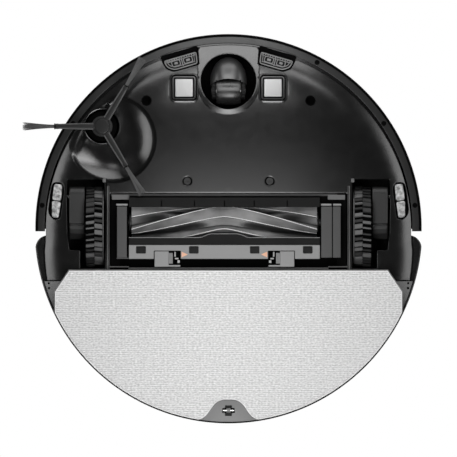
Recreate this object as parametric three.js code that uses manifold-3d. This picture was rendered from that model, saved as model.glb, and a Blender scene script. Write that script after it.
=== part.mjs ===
// Robot vacuum with a mop module. Millimetres, +Z up, standing on z = 0, front towards -Y.
// The origin is on the floor under the middle of the whole object's box. The round body's axis stands a
// little to the +X side of it, because the side brush reaches out past the body on the -X side.

import * as THREE from 'three';
import { mergeVertices } from 'three/addons/utils/BufferGeometryUtils.js';
import Module from 'manifold-3d';

const wasm = await Module();
wasm.setup();

// ---------------------------------------------------------------- driving dimensions
const BODY_R = 175; // outside of the rear shell
const CORE_R = 165; // chassis and top cover, inside the bumper and the rear shell
const PLATE_Z = 11; // clearance under the chassis
const SPLIT_Z = 44; // the chassis wall ends and the top cover's wall begins
const TOP_Z = 80; // top of the cover
const WALL = 2.5;
const GAP = 0.3; // between neighbours that touch on the real object

const BUMPER = { y: -2.2, r: 174.5, lipR: 166.5, endY: 1.5, z0: 20, z1: 77 };
const WINDOW = { z0: 42, z1: 58, depth: 1.3, halfAngle: 0.66 };
const REAR = { innerY: 5.4, outerY: 15.2, z0: 24, z1: 78 };

const BAY = { x: 106.8, y0: -32.3, y1: 36.4 }; // hole in the chassis for the brush housing
const BRUSH = { y: -6.75, z: 20.5, r: 18, coreR: 9, x0: -87.5, x1: 80 };
const HOUSING_TOP_Z = 46;
const GUARD = { x: -3.7, y0: -29.2, y1: 26.5, left: -97.1, right: 105.8, z0: 5, z1: 8 };
const MOUTH = { halfX: 86.1, y0: -20.2, y1: 6.7 };
const LATCH = { inner: 47, outer: 63, notchInner: 39.3, y0: 19.4, y1: 33.6 };
const DUCT = { x: 30, z0: 28, z1: 43 };

const WHEEL = { x0: 112.4, x1: 129, y: -2.7, r: 36.5, rimR: 27 };
const WELL = { x0: 111.4, x1: 146, y0: -46, y1: 35.2, wall: 2, top: 75.5 };
const ARM = { x0: 129.7, x1: 144.8, pivotY: -30, axleR: 4, pinR: 2.5 };
const SPRING = { x: 137.5, y: -18, r: 5, wire: 0.9, turns: 4, z0: 57.3, z1: 72.7 };

const CASTER = { y: -133.8, trail: 8.7, wheelR: 12.5, wheelX: 11, domeR: 17, cupR: 24.9, rimR: 29.6 };
const SIDE_BRUSH = { x: -114.1, y: -93.2, armR: 43, reach: 70, restAngle: Math.PI, hubR: 9.6 };
const DISH = { x: -104.7, y: -81.6, r: 39, depth: 8 };
const CONTACT = { x: 40.1, y: -128, size: 16.1 };
const FRONT_WINDOW = { x: 44, y: -155, length: 31, width: 13, turn: 0.27 };
const SIDE_WINDOW = { x: 155.3, y: -26, length: 31, width: 9, turn: 0.14 };
const SWITCH = { angle: 0.62, z: 34 };

const PAD = { y0: 37, topX: 143.5, sideX: 158.2, sideY: 56, r: 173.4, z1: 4 };
const TAB = { halfWidth: 27, topY: 153.3, topHalf: 6 };
const PLATE = { z0: 4.3, z1: 8 };
const MOP_LATCH = { y: 163.2, z: 6.6, half: 4, pinR: 1.2, pinHalf: 5.2 };
const TANK = { y0: 46.3, z0: 8.3, z1: 23.4, r: 173, wall: 2, plugX: -60, plugY: 100, plugR: 9 };
const TANK_ROOF_Z = 23.8;

const TURRET = { y: -30, r: 37.5, z0: 60, headR: 32.5, headZ: 92.3, capZ0: 93.3, top: 97, coverR: 38.5 };
const LID = { x: 96, hingeY: 27, hingeZ: 76, openingY: 22.8, frontY: 25.4, r: 150, edgeGap: 0.6 };
const BUTTON = { x: 13, y: -112, r: 8, top: 80.6 };

const BIN = { x0: -90, x1: 40, y0: 48, y1: 124, z0: 27, z1: 70, wall: 2 };
const FAN = { x: 85, y: 88, r: 30, z0: 30, z1: 62 };

const BODY_X = (-SIDE_BRUSH.x + SIDE_BRUSH.reach - BODY_R) / 2;
const BIG = 400;
const RING_SEGMENTS = 64;

// ---------------------------------------------------------------- materials
function plastic(color, roughness = 0.5) {
  return new THREE.MeshStandardMaterial({ color, roughness, metalness: 0 });
}
function metal(color) {
  return new THREE.MeshStandardMaterial({ color, roughness: 0.3, metalness: 1 });
}
const BLACK = plastic(0x1b1b1c);
const DARK = plastic(0x343536);
const GREY = plastic(0x858585);
const RUBBER = plastic(0x2a2a2b, 0.8);
const CLEAR = plastic(0xb8b8b8, 0.15);
const CLOTH = plastic(0xc9c9c9, 0.95);
const GLOSS = plastic(0x0a0a0b, 0.1);
const WHITE = plastic(0xe8e8e8, 0.4);
const BOARD = plastic(0x1f5a35, 0.6);
const STEEL = metal(0xc8c8c8);

// ---------------------------------------------------------------- closed solids from three.js geometries
function solid(geometry) {
  const bare = geometry.clone();
  bare.deleteAttribute('normal');
  bare.deleteAttribute('uv');
  const merged = mergeVertices(bare, 1e-4);
  const points = merged.getAttribute('position').array;
  const corners = Array.from(merged.index.array);
  const triangles = [];
  for (let i = 0; i < corners.length; i += 3) {
    const [a, b, c] = corners.slice(i, i + 3);
    if (a !== b && b !== c && a !== c) triangles.push([a, b, c]);
  }
  const at = (i) => new THREE.Vector3().fromArray(points, 3 * i);
  let volume = 0;
  for (const [a, b, c] of triangles) volume += at(a).dot(at(b).cross(at(c)));
  const outward = volume > 0 ? triangles : triangles.map(([a, b, c]) => [a, c, b]);
  const vertProperties = new Float32Array(points);
  const triVerts = new Uint32Array(outward.flat());
  return new wasm.Manifold(new wasm.Mesh({ numProp: 3, vertProperties, triVerts }));
}

function box(x0, x1, y0, y1, z0, z1) {
  const geometry = new THREE.BoxGeometry(x1 - x0, y1 - y0, z1 - z0);
  return solid(geometry.translate((x0 + x1) / 2, (y0 + y1) / 2, (z0 + z1) / 2));
}

function cylinderZ(r, x, y, z0, z1, segments = 32) {
  const geometry = new THREE.CylinderGeometry(r, r, z1 - z0, segments);
  return solid(geometry.rotateX(Math.PI / 2).translate(x, y, (z0 + z1) / 2));
}

function cylinderX(r, x0, x1, y, z, segments = 32) {
  const geometry = new THREE.CylinderGeometry(r, r, x1 - x0, segments);
  return solid(geometry.rotateZ(Math.PI / 2).translate((x0 + x1) / 2, y, z));
}

// A profile of [radius, height] pairs turned about a vertical axis at (x, y).
function turned(profile, x = 0, y = 0, segments = RING_SEGMENTS) {
  const points = profile.map(([r, z]) => new THREE.Vector2(r, z));
  const geometry = new THREE.LatheGeometry(points, segments);
  return solid(geometry.rotateX(Math.PI / 2).translate(x, y, 0));
}

// The same, for a ring whose profile closes on itself.
function ring(profile, x = 0, y = 0, segments = RING_SEGMENTS) {
  return turned([...profile, profile[0]], x, y, segments);
}

function extrudeZ(shape, z0, z1, curveSegments = 24) {
  const geometry = new THREE.ExtrudeGeometry(shape, { depth: z1 - z0, bevelEnabled: false, curveSegments });
  return solid(geometry.translate(0, 0, z0));
}

// A shape drawn in (Y, Z), extruded along X.
function extrudeX(shape, x0, x1, curveSegments = 24) {
  const geometry = new THREE.ExtrudeGeometry(shape, { depth: x1 - x0, bevelEnabled: false, curveSegments });
  const turn = new THREE.Matrix4().makeBasis(
    new THREE.Vector3(0, 1, 0),
    new THREE.Vector3(0, 0, 1),
    new THREE.Vector3(1, 0, 0),
  );
  return solid(geometry.applyMatrix4(turn).translate(x0, 0, 0));
}

function polygon(points) {
  return new THREE.Shape(points.map(([x, y]) => new THREE.Vector2(x, y)));
}

function joined(first, ...others) {
  return others.reduce((sum, other) => sum.add(other), first);
}

function cut(first, ...others) {
  return others.reduce((rest, other) => rest.subtract(other), first);
}

// A stretch from a to b on the side's own side of the body.
function span(side, a, b) {
  return side > 0 ? [a, b] : [-b, -a];
}

const body = new THREE.Group();
body.position.x = BODY_X;

function piece(name, shape, material) {
  const mesh = shape.getMesh();
  const geometry = new THREE.BufferGeometry();
  geometry.setAttribute('position', new THREE.BufferAttribute(new Float32Array(mesh.vertProperties), 3));
  geometry.setIndex(new THREE.BufferAttribute(new Uint32Array(mesh.triVerts), 1));
  geometry.computeVertexNormals();
  const part = new THREE.Mesh(geometry, material);
  part.name = name;
  body.add(part);
}

// ---------------------------------------------------------------- outlines
// A slot-like window outline, turned about its own middle.
function windowShape(window, side, grow) {
  const half = [window.length / 2 + grow, window.width / 2 + grow];
  const cos = Math.cos(window.turn * side);
  const sin = Math.sin(window.turn * side);
  const corners = [
    [-half[0], -half[1]],
    [half[0], -half[1]],
    [half[0], half[1]],
    [-half[0], half[1]],
  ];
  return corners.map(([u, v]) => [side * window.x + u * cos - v * sin, window.y + u * sin + v * cos]);
}

// The side windows stand upright in plan, so their length runs along Y.
function uprightWindowShape(window, side, grow) {
  const half = [window.width / 2 + grow, window.length / 2 + grow];
  const cos = Math.cos(-window.turn * side);
  const sin = Math.sin(-window.turn * side);
  const cornerCut = 2.5;
  const corners = [
    [-half[0] + cornerCut, -half[1]],
    [half[0] - cornerCut, -half[1]],
    [half[0], -half[1] + cornerCut],
    [half[0], half[1] - cornerCut],
    [half[0] - cornerCut, half[1]],
    [-half[0] + cornerCut, half[1]],
    [-half[0], half[1] - cornerCut],
    [-half[0], -half[1] + cornerCut],
  ];
  return corners.map(([u, v]) => [side * window.x + u * cos - v * sin, window.y + u * sin + v * cos]);
}

// The mop's outline: straight front, chamfered corners, then the body's round edge.
function mopOutline(r, grow, withTab) {
  const sideY = Math.sqrt(r * r - (PAD.sideX + grow) ** 2);
  const start = Math.atan2(sideY, PAD.sideX + grow);
  const shape = new THREE.Shape();
  shape.moveTo(-PAD.topX - grow / 2, PAD.y0 - grow);
  shape.lineTo(PAD.topX + grow / 2, PAD.y0 - grow);
  shape.lineTo(PAD.sideX + grow, PAD.sideY - grow / 2);
  if (withTab) {
    const edge = Math.acos(TAB.halfWidth / r);
    shape.absarc(0, 0, r, start, edge, false);
    const edgeY = Math.sin(edge) * r;
    const middleX = (TAB.halfWidth + TAB.topHalf) / 2;
    shape.bezierCurveTo(middleX, edgeY - 2, middleX, TAB.topY, TAB.topHalf - 3, TAB.topY);
    shape.lineTo(-TAB.topHalf + 3, TAB.topY);
    shape.bezierCurveTo(-middleX, TAB.topY, -middleX, edgeY - 2, -TAB.halfWidth, edgeY);
    shape.absarc(0, 0, r, Math.PI - edge, Math.PI - start, false);
  } else {
    shape.absarc(0, 0, r, start, Math.PI - start, false);
  }
  shape.lineTo(-PAD.sideX - grow, PAD.sideY - grow / 2);
  return shape;
}

function lidOutline(frontY, inset) {
  const x = LID.x - inset;
  const r = LID.r - inset;
  const corner = Math.acos(x / r);
  const shape = new THREE.Shape();
  shape.moveTo(-x, frontY);
  shape.lineTo(x, frontY);
  shape.absarc(0, 0, r, corner, Math.PI - corner, false);
  return shape;
}

// ---------------------------------------------------------------- chassis
function chassisBase() {
  const outside = [
    [0, PLATE_Z],
    [148, PLATE_Z],
    [156, 13.2],
    [162, 17.6],
    [CORE_R, 24],
    [CORE_R, SPLIT_Z],
  ];
  const inside = [
    [CORE_R - WALL, SPLIT_Z],
    [CORE_R - WALL, 25],
    [158, 17],
    [147, PLATE_Z + WALL],
    [0, PLATE_Z + WALL],
  ];
  const dishTop = PLATE_Z + DISH.depth;
  const dishDisc = cylinderZ(DISH.r + 3, DISH.x, DISH.y, PLATE_Z, dishTop + WALL);
  const filled = turned([...outside, [0, SPLIT_Z]]);
  const bowl = [[0, dishTop]];
  for (const share of [0.45, 0.7, 0.87, 1]) {
    bowl.push([DISH.r * share, dishTop - DISH.depth * share * share]);
  }
  bowl.push([DISH.r, PLATE_Z - 5], [0, PLATE_Z - 5]);
  const tub = turned([...outside, ...inside]);
  let chassis = joined(tub, dishDisc.intersect(filled));
  chassis = cut(chassis, turned(bowl, DISH.x, DISH.y, 32));

  // the floor steps up at the back, over the water tank
  const behind = box(-BIG, BIG, TANK.y0 - GAP, BIG, 0, TANK_ROOF_Z);
  const stepFront = TANK.y0 - GAP - WALL;
  const roof = cylinderZ(CORE_R - 1, 0, 0, TANK_ROOF_Z, TANK_ROOF_Z + WALL, RING_SEGMENTS);
  const stepWall = cylinderZ(CORE_R - 3, 0, 0, PLATE_Z + 3, TANK_ROOF_Z + WALL, RING_SEGMENTS);
  chassis = cut(chassis, behind);
  chassis = joined(chassis, roof.intersect(box(-BIG, BIG, stepFront, BIG, 0, BIG)));
  chassis = joined(chassis, stepWall.intersect(box(-BIG, BIG, stepFront, TANK.y0 - GAP, 0, BIG)));

  for (const side of [-1, 1]) {
    chassis = wheelWell(chassis, side);
    const contactX = span(side, CONTACT.x - CONTACT.size / 2 - GAP, CONTACT.x + CONTACT.size / 2 + GAP);
    const half = CONTACT.size / 2 + GAP;
    const front = extrudeZ(polygon(windowShape(FRONT_WINDOW, side, GAP)), 0, 40);
    const upright = extrudeZ(polygon(uprightWindowShape(SIDE_WINDOW, side, GAP)), 0, 40);
    const contactHole = box(...contactX, CONTACT.y - half, CONTACT.y + half, 0, 20);
    chassis = cut(chassis, contactHole, front, upright, switchPlunger(side, 3.2, 140));
  }
  const brushBay = box(-BAY.x, BAY.x, BAY.y0, BAY.y1, 0, 40);
  const casterHole = cylinderZ(CASTER.cupR + 2.4, 0, CASTER.y, 0, 40);
  const motorHole = cylinderZ(14.4, SIDE_BRUSH.x, SIDE_BRUSH.y, 0, 40);
  piece('chassis_base', cut(chassis, brushBay, casterHole, motorHole), BLACK);
}

// Walls round a drive wheel, with a seat for the suspension spring and a hole for the pin.
function wheelWell(chassis, side) {
  const outer = span(side, WELL.x0 - WELL.wall, WELL.x1 + WELL.wall);
  const inner = span(side, WELL.x0, WELL.x1);
  const wallBlock = box(...outer, WELL.y0 - WELL.wall, WELL.y1 + WELL.wall, PLATE_Z + 1, WELL.top);
  const space = box(...inner, WELL.y0, WELL.y1, 0, BIG);
  const seatX = span(side, SPRING.x - 6.5, WELL.x1 + 1);
  const seat = box(...seatX, SPRING.y - 7, SPRING.y + 7, SPRING.z1 + GAP, WELL.top);
  const pinHole = cylinderX(ARM.pinR + GAP, ...span(side, 140, 152), ARM.pivotY, WHEEL.r, 24);
  return cut(joined(cut(joined(chassis, wallBlock), space), seat), pinHole);
}

// The axis of a bumper switch: it points outwards through the chassis wall.
function switchPlunger(side, r, innerR) {
  const outerR = 168.5;
  const geometry = new THREE.CylinderGeometry(r, r, outerR - innerR, 16);
  geometry.translate(0, -(innerR + outerR) / 2, SWITCH.z);
  return solid(geometry.rotateZ(side * SWITCH.angle));
}

function bumperSwitch(side, name) {
  const geometry = new THREE.BoxGeometry(14, 10, 9).translate(0, -152, SWITCH.z);
  piece(name, joined(solid(geometry.rotateZ(side * SWITCH.angle)), switchPlunger(side, 2.6, 154)), DARK);
}

function rearShell() {
  const innerR = CORE_R + 2 * GAP;
  const inner = Math.asin(REAR.innerY / innerR);
  const outer = Math.asin(REAR.outerY / BODY_R);
  const shape = new THREE.Shape();
  shape.absarc(0, 0, innerR, inner, Math.PI - inner, false);
  shape.quadraticCurveTo(-172.5, 7.5, -Math.cos(outer) * BODY_R, REAR.outerY);
  shape.absarc(0, 0, BODY_R, Math.PI - outer, outer, true);
  shape.quadraticCurveTo(172.5, 7.5, Math.cos(inner) * innerR, REAR.innerY);
  const hollow = cylinderZ(BODY_R - WALL, 0, 0, REAR.z0 + WALL, REAR.z1 - WALL, RING_SEGMENTS);
  let shell = cut(extrudeZ(shape, REAR.z0, REAR.z1, 32), hollow);
  const slots = 9;
  for (let i = 0; i < slots; i += 1) {
    const geometry = new THREE.BoxGeometry(12, 2.6, 22).translate(BODY_R, 0, 52);
    const angle = Math.PI / 2 + (i - (slots - 1) / 2) * 0.045;
    shell = cut(shell, solid(geometry.rotateZ(angle)));
  }
  piece('rear_shell', shell, BLACK);
}

function topCover() {
  const profile = [
    [0, TOP_Z],
    [157, TOP_Z],
    [162.5, 78.6],
    [CORE_R, 75.5],
    [CORE_R, SPLIT_Z + GAP],
    [CORE_R - WALL, SPLIT_Z + GAP],
    [CORE_R - WALL, 74.5],
    [159.5, 77.5],
    [0, 77.5],
  ];
  const turretHole = cylinderZ(TURRET.r + GAP, 0, TURRET.y, 70, 90);
  const opening = extrudeZ(lidOutline(LID.openingY, 0), 70, 90, 32);
  let cover = cut(turned(profile), turretHole, opening);
  for (const side of [-1, 1]) {
    cover = cut(cover, cylinderZ(BUTTON.r + 0.4, side * BUTTON.x, BUTTON.y, 70, 90, 32));
    const lugX = span(side, 72, 78);
    const lug = box(...lugX, LID.openingY - 5, LID.hingeY + 3.5, LID.hingeZ - 4, 78);
    const bore = cylinderX(1.5 + GAP, ...span(side, 60, 90), LID.hingeY, LID.hingeZ, 20);
    const above = box(...span(side, 71, 79), LID.openingY, LID.hingeY + 10, 77.2, 79);
    cover = joined(cover, cut(lug, bore, above));
  }
  piece('top_cover', cover, BLACK);
}

function chargeContacts() {
  const half = CONTACT.size / 2;
  for (const [side, name] of [[-1, 'charge_contact_left'], [1, 'charge_contact_right']]) {
    const x = span(side, CONTACT.x - half, CONTACT.x + half);
    piece(name, box(...x, CONTACT.y - half, CONTACT.y + half, PLATE_Z - 0.8, PLATE_Z + WALL), STEEL);
  }
}

function cliffWindows() {
  for (const [side, word] of [[-1, 'left'], [1, 'right']]) {
    const front = extrudeZ(polygon(windowShape(FRONT_WINDOW, side, 0)), 14, BUMPER.z0 - 1);
    const upright = extrudeZ(polygon(uprightWindowShape(SIDE_WINDOW, side, 0)), 13.5, 22);
    piece(`cliff_window_front_${word}`, front, CLEAR);
    piece(`cliff_window_side_${word}`, upright, CLEAR);
  }
}

// ---------------------------------------------------------------- bumper
function bumper() {
  const { y, r, lipR, endY, z0, z1 } = BUMPER;
  const profile = [
    [lipR, z0],
    [r - 1, z0],
    [r, z0 + 1],
    [r, z1 - 3],
    [r - 3, z1],
    [lipR, z1],
    [lipR, z1 - WALL],
    [r - 3, z1 - WALL - 1],
    [r - 3, z0 + WALL],
    [lipR, z0 + WALL],
  ];
  const front = box(-BIG, BIG, -BIG, endY, 0, BIG);
  const halfRing = ring(profile, 0, y).intersect(front);
  piece('bumper', cut(halfRing, windowSolid(r - WINDOW.depth, r + 5, 0, 0)), DARK);
  piece('bumper_window', windowSolid(r - WINDOW.depth + GAP, r, GAP, 0.002), GLOSS);
}

// A piece of ring at the front of the bumper, between two radii.
function windowSolid(r0, r1, inset, angleInset) {
  const band = ring([
    [r0, WINDOW.z0 + inset],
    [r1, WINDOW.z0 + inset],
    [r1, WINDOW.z1 - inset],
    [r0, WINDOW.z1 - inset],
  ], 0, BUMPER.y);
  const reach = Math.tan(WINDOW.halfAngle - angleInset) * 300;
  const wedge = extrudeZ(polygon([[0, 0], [-reach, -300], [reach, -300]]), 0, 100);
  return band.intersect(wedge.translate([0, BUMPER.y, 0]));
}

// ---------------------------------------------------------------- caster
function caster() {
  const { y, trail, wheelR, wheelX, domeR, cupR, rimR } = CASTER;
  const axleY = y + trail;
  const axleR = 1.5;
  const socket = ring([
    [cupR, PLATE_Z - 1.5],
    [rimR, PLATE_Z - 1.5],
    [rimR, PLATE_Z - GAP],
    [cupR + 2, PLATE_Z - GAP],
    [cupR + 2, 38],
    [4.4, 38],
    [4.4, 35],
    [cupR, 35],
  ], 0, y, 32);
  piece('caster_socket', socket, BLACK);

  // The fork is a hood in front of the wheel, cut off at a slant, with a cheek on each side of the wheel.
  const hood = solid(new THREE.SphereGeometry(1, 32, 20)).scale([domeR - 0.3, 22, 13]).translate([0, y, 16]);
  const leanBack = new THREE.Vector3(0, -1, 0.45);
  const hoodEdge = new THREE.Vector3(0, y - 0.7, 3);
  const leanLength = leanBack.length();
  const front = hood.trimByPlane(leanBack.toArray(), hoodEdge.dot(leanBack) / leanLength);
  const crown = joined(cylinderZ(domeR - 0.6, 0, y, 26, 30), cylinderZ(4, 0, y, 28, 44));
  const cheeks = [-1, 1].map((side) => {
    const [x0, x1] = span(side, wheelX + 0.7, domeR - 1.8);
    return box(x0, x1, y - 5, y + 16.5, 9, 29);
  });
  const slot = cylinderX(wheelR + 0.8, -wheelX - 0.7, wheelX + 0.7, axleY, wheelR, 24);
  const bore = cylinderX(axleR + GAP, -20, 20, axleY, wheelR, 16);
  piece('caster_fork', cut(joined(front, crown, ...cheeks), slot, bore), DARK);

  const half = 12.6;
  piece('caster_axle', cylinderX(axleR, -half, half, axleY, wheelR, 16), STEEL);
  const barrel = ring([
    [axleR + GAP, -wheelX],
    [wheelR - 1.5, -wheelX],
    [wheelR - 0.7, 1 - wheelX],
    [wheelR, -3],
    [wheelR, 3],
    [wheelR - 0.7, wheelX - 1],
    [wheelR - 1.5, wheelX],
    [axleR + GAP, wheelX],
  ], 0, 0, 32);
  piece('caster_wheel', barrel.rotate([0, 90, 0]).translate([0, axleY, wheelR]), RUBBER);
}

// ---------------------------------------------------------------- side brush
function sideBrush() {
  const { x, y, armR, reach, restAngle, hubR } = SIDE_BRUSH;
  const motor = joined(cylinderZ(13, x, y, 22, 48), cylinderZ(14, x, y, 16, 23));
  piece('side_brush_motor', motor, DARK);

  let hub = cylinderZ(hubR, x, y, 8.5, 15.6, 32);
  const armSide = polygon([[5, 9.4], [armR, 4.6], [armR, 7.6], [5, 13]]);
  const tuftSide = polygon([[armR + GAP, 4.3], [reach, 0.8], [reach, 2.8], [armR + GAP, 7.2]]);
  for (let i = 0; i < 3; i += 1) {
    const turn = restAngle + (i * 2 * Math.PI) / 3;
    const arm = radial(armSide, 5, turn).translate([x, y, 0]);
    hub = joined(hub, arm);
    piece(`bristle_tuft_${i + 1}`, radial(tuftSide, 5.2, turn).translate([x, y, 0]), RUBBER);
  }
  piece('side_brush_hub', hub, BLACK);
}

// A shape drawn in (radius, height), given a width and turned about the vertical axis.
function radial(shape, width, turn) {
  const geometry = new THREE.ExtrudeGeometry(shape, { depth: width, bevelEnabled: false });
  geometry.translate(0, 0, -width / 2).rotateX(Math.PI / 2);
  return solid(geometry.rotateZ(turn));
}

// ---------------------------------------------------------------- main brush and its bay
function brushHousing() {
  const { y, z, r } = BRUSH;
  const edge = GAP;
  let block = box(-BAY.x + edge, BAY.x - edge, BAY.y0 + edge, BAY.y1 - edge, PLATE_Z + 0.4, HOUSING_TOP_Z);
  const chamberR = r + 2.5;
  const chamberX = [GUARD.x - MOUTH.halfX - 0.5, GUARD.x + MOUTH.halfX + 0.5];
  const chamber = cylinderX(chamberR, ...chamberX, y, z);
  const below = box(...chamberX, y - chamberR, y + chamberR, 0, z);
  const leftPocket = box(GUARD.x + GUARD.left - 0.5, chamberX[0] + 1, y - 14, y + 14, 0, 36);
  const rightPocket = box(chamberX[1] - 1, GUARD.x + GUARD.right - 1.4, y - 14, y + 14, 0, 36);
  const fingerGap = box(-98, 98, y + chamberR + 2, BAY.y1 - 2, 0, 18);
  const duct = box(-DUCT.x, DUCT.x, y, 60, DUCT.z0, DUCT.z1);
  block = cut(block, chamber, below, leftPocket, rightPocket, fingerGap, duct);
  piece('brush_housing', block, BLACK);

  const shaftR = 3;
  const bore = cylinderX(shaftR + GAP, -120, 120, y, z, 20);
  const left = box(GUARD.x + GUARD.left, chamberX[0] - 0.2, y - 13.5, y + 13.5, 9, 35.5);
  const right = box(chamberX[1] + 0.2, GUARD.x + GUARD.right - 2, y - 13.5, y + 13.5, 9, 35.5);
  piece('brush_bearing_left', cut(left, bore), DARK);
  piece('brush_bearing_right', cut(right, bore), DARK);

  const core = cylinderX(BRUSH.coreR, BRUSH.x0 - 1, BRUSH.x1 + 1, y, z, 24);
  const shaft = cylinderX(shaftR, GUARD.x + GUARD.left + 3, GUARD.x + GUARD.right - 8, y, z, 20);
  piece('brush_roller', joined(core, shaft), DARK);
  piece('brush_fins', brushFins(), RUBBER);
  piece('brush_motor', joined(cylinderX(13, 62, 100, -49, 30, 32), box(96, 104, -60, -36, 17, 43)), DARK);
}

// A sleeve with fins that twist towards the middle from both ends, so that they meet in a V.
function brushFins() {
  const fins = 5;
  const inner = BRUSH.coreR + 3 * GAP;
  const sleeve = inner + 1.6;
  const finHalf = 0.09;
  const shape = new THREE.Shape();
  const points = [];
  for (let i = 0; i < fins; i += 1) {
    const middle = (i * 2 * Math.PI) / fins;
    const stops = [
      [-0.3, sleeve],
      [-finHalf, sleeve + 0.6],
      [-finHalf / 2, BRUSH.r],
      [finHalf / 2, BRUSH.r],
      [finHalf, sleeve + 0.6],
      [0.3, sleeve],
    ];
    for (const [turn, r] of stops) {
      points.push(new THREE.Vector2(Math.cos(middle + turn) * r, Math.sin(middle + turn) * r));
    }
  }
  shape.setFromPoints(points);
  const hole = new THREE.Path();
  hole.absarc(0, 0, inner, 0, 2 * Math.PI, true);
  shape.holes.push(hole);
  const length = BRUSH.x1 - BRUSH.x0;
  const settings = { depth: length, steps: 10, bevelEnabled: false, curveSegments: 10 };
  const geometry = new THREE.ExtrudeGeometry(shape, settings);
  const places = geometry.getAttribute('position');
  const middle = length / 2;
  const twist = 1.1;
  for (let i = 0; i < places.count; i += 1) {
    const spot = new THREE.Vector3().fromBufferAttribute(places, i);
    const away = Math.abs(spot.z - middle) / middle;
    spot.applyAxisAngle(new THREE.Vector3(0, 0, 1), away * twist);
    places.setXYZ(i, spot.x, spot.y, spot.z);
  }
  geometry.rotateY(Math.PI / 2).translate(BRUSH.x0, BRUSH.y, BRUSH.z);
  return solid(geometry);
}

function brushGuard() {
  const { x, y0, y1, left, right, z0, z1 } = GUARD;
  let guard = box(x + left, x + right, y0, y1, z0, z1);
  guard = cut(guard, box(x - MOUTH.halfX, x + MOUTH.halfX, MOUTH.y0, MOUTH.y1, 0, 20));
  for (const [side, name] of [[-1, 'guard_latch_left'], [1, 'guard_latch_right']]) {
    const notch = span(side, LATCH.notchInner, LATCH.outer + 0.5);
    guard = cut(guard, box(x + notch[0], x + notch[1], LATCH.y0 - 0.4, 60, 0, 20));
    const plate = span(side, LATCH.inner, LATCH.outer);
    piece(name, box(x + plate[0], x + plate[1], LATCH.y0, LATCH.y1, z0, z1 + 0.6), GREY);
  }
  piece('brush_guard', guard, GREY);
}

// ---------------------------------------------------------------- drive wheels
function driveWheel(side, word) {
  const { x0, x1, y, r, rimR } = WHEEL;
  const z = r;
  const tread = cylinderX(r, ...span(side, x0, x1), y, z, 56);
  const rimHole = cylinderX(rimR, ...span(side, x0 - 5, x1 + 5), y, z);
  piece(`drive_tyre_${word}`, cut(tread, rimHole), RUBBER);
  const hubX = span(side, x0 + 0.5, x1 - 0.5);
  const hub = cylinderX(rimR - GAP, ...hubX, y, z);
  piece(`wheel_hub_${word}`, cut(hub, cylinderX(ARM.axleR + 0.4, ...span(side, 100, 150), y, z, 24)), DARK);

  const outline = polygon([
    [-37, 14.5],
    [4.5, 14.5],
    [9, 22],
    [9, 46],
    [-6, 57],
    [-30, 57],
    [-39, 48],
    [-39, 20],
  ]);
  const casing = extrudeX(outline, ...span(side, ARM.x0, ARM.x1));
  const axle = cylinderX(ARM.axleR, ...span(side, x0 + 1.5, ARM.x0 + 1), y, z, 24);
  const bore = cylinderX(ARM.pinR + GAP, ...span(side, 120, 160), ARM.pivotY, z, 24);
  piece(`wheel_arm_${word}`, joined(cut(casing, bore), axle), DARK);
  const pivot = cylinderX(ARM.pinR, ...span(side, ARM.x0 + 0.5, 149), ARM.pivotY, z, 24);
  piece(`suspension_pin_${word}`, pivot, STEEL);
  piece(`suspension_spring_${word}`, coilSpring(side), STEEL);
}

function coilSpring(side) {
  const { x, y, r, wire, turns, z0, z1 } = SPRING;
  const path = [];
  const steps = turns * 8;
  for (let i = 0; i <= steps; i += 1) {
    const share = i / steps;
    const angle = share * turns * 2 * Math.PI;
    const z = z0 + wire + share * (z1 - z0 - 2 * wire);
    path.push(new THREE.Vector3(side * x + r * Math.cos(angle), y + r * Math.sin(angle), z));
  }
  const section = new THREE.Shape();
  section.absarc(0, 0, wire, 0, 2 * Math.PI, false);
  const extrudePath = new THREE.CatmullRomCurve3(path);
  const settings = { steps, extrudePath, curveSegments: 3, bevelEnabled: false };
  return solid(new THREE.ExtrudeGeometry(section, settings));
}

// ---------------------------------------------------------------- mop module
function mopModule() {
  piece('mop_pad', extrudeZ(mopOutline(PAD.r, 0, true), 0, PAD.z1, 20), CLOTH);

  const { y, z, half, pinR, pinHalf } = MOP_LATCH;
  const hole = box(-half - 1, half + 1, y - half - 1, y + half + 1, 0, 20);
  const pinSlot = box(-pinHalf - GAP, pinHalf + GAP, y - pinR - GAP, y + pinR + GAP, 0, 20);
  const plate = extrudeZ(mopOutline(PAD.r, 0.8, false), PLATE.z0, PLATE.z1, 40);
  piece('mop_plate', cut(plate, hole, pinSlot), GREY);
  const lever = box(-half + 0.2, half - 0.2, y - half, y + half, z - 1.8, z + 1.8);
  piece('mop_latch', cut(lever, cylinderX(pinR + GAP, -20, 20, y, z, 16)), BLACK);
  piece('mop_latch_pin', cylinderX(pinR, -pinHalf, pinHalf, y, z, 16), STEEL);

  const { y0, z0, z1, r, wall, plugX, plugY, plugR } = TANK;
  const shell = tankSolid(0, z0, z1, r).intersect(box(-BIG, BIG, y0, BIG, 0, BIG));
  const room = tankSolid(wall, z0 + wall, z1 - wall, r).intersect(box(-BIG, BIG, y0 + wall, BIG, 0, BIG));
  const filler = cylinderZ(plugR, plugX, plugY, z1 - wall - 1, z1 + 5, 32);
  piece('water_tank', cut(shell, room, filler), DARK);
  piece('tank_plug', cylinderZ(plugR - GAP, plugX, plugY, z1 - wall, z1, 32), RUBBER);
}

function tankSolid(inset, z0, z1, r) {
  return turned([
    [0, z0],
    [150 - inset, z0],
    [165 - inset, 14],
    [r - inset, Math.min(21, z1 - 0.5)],
    [r - inset, z1],
    [0, z1],
  ]);
}

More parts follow.
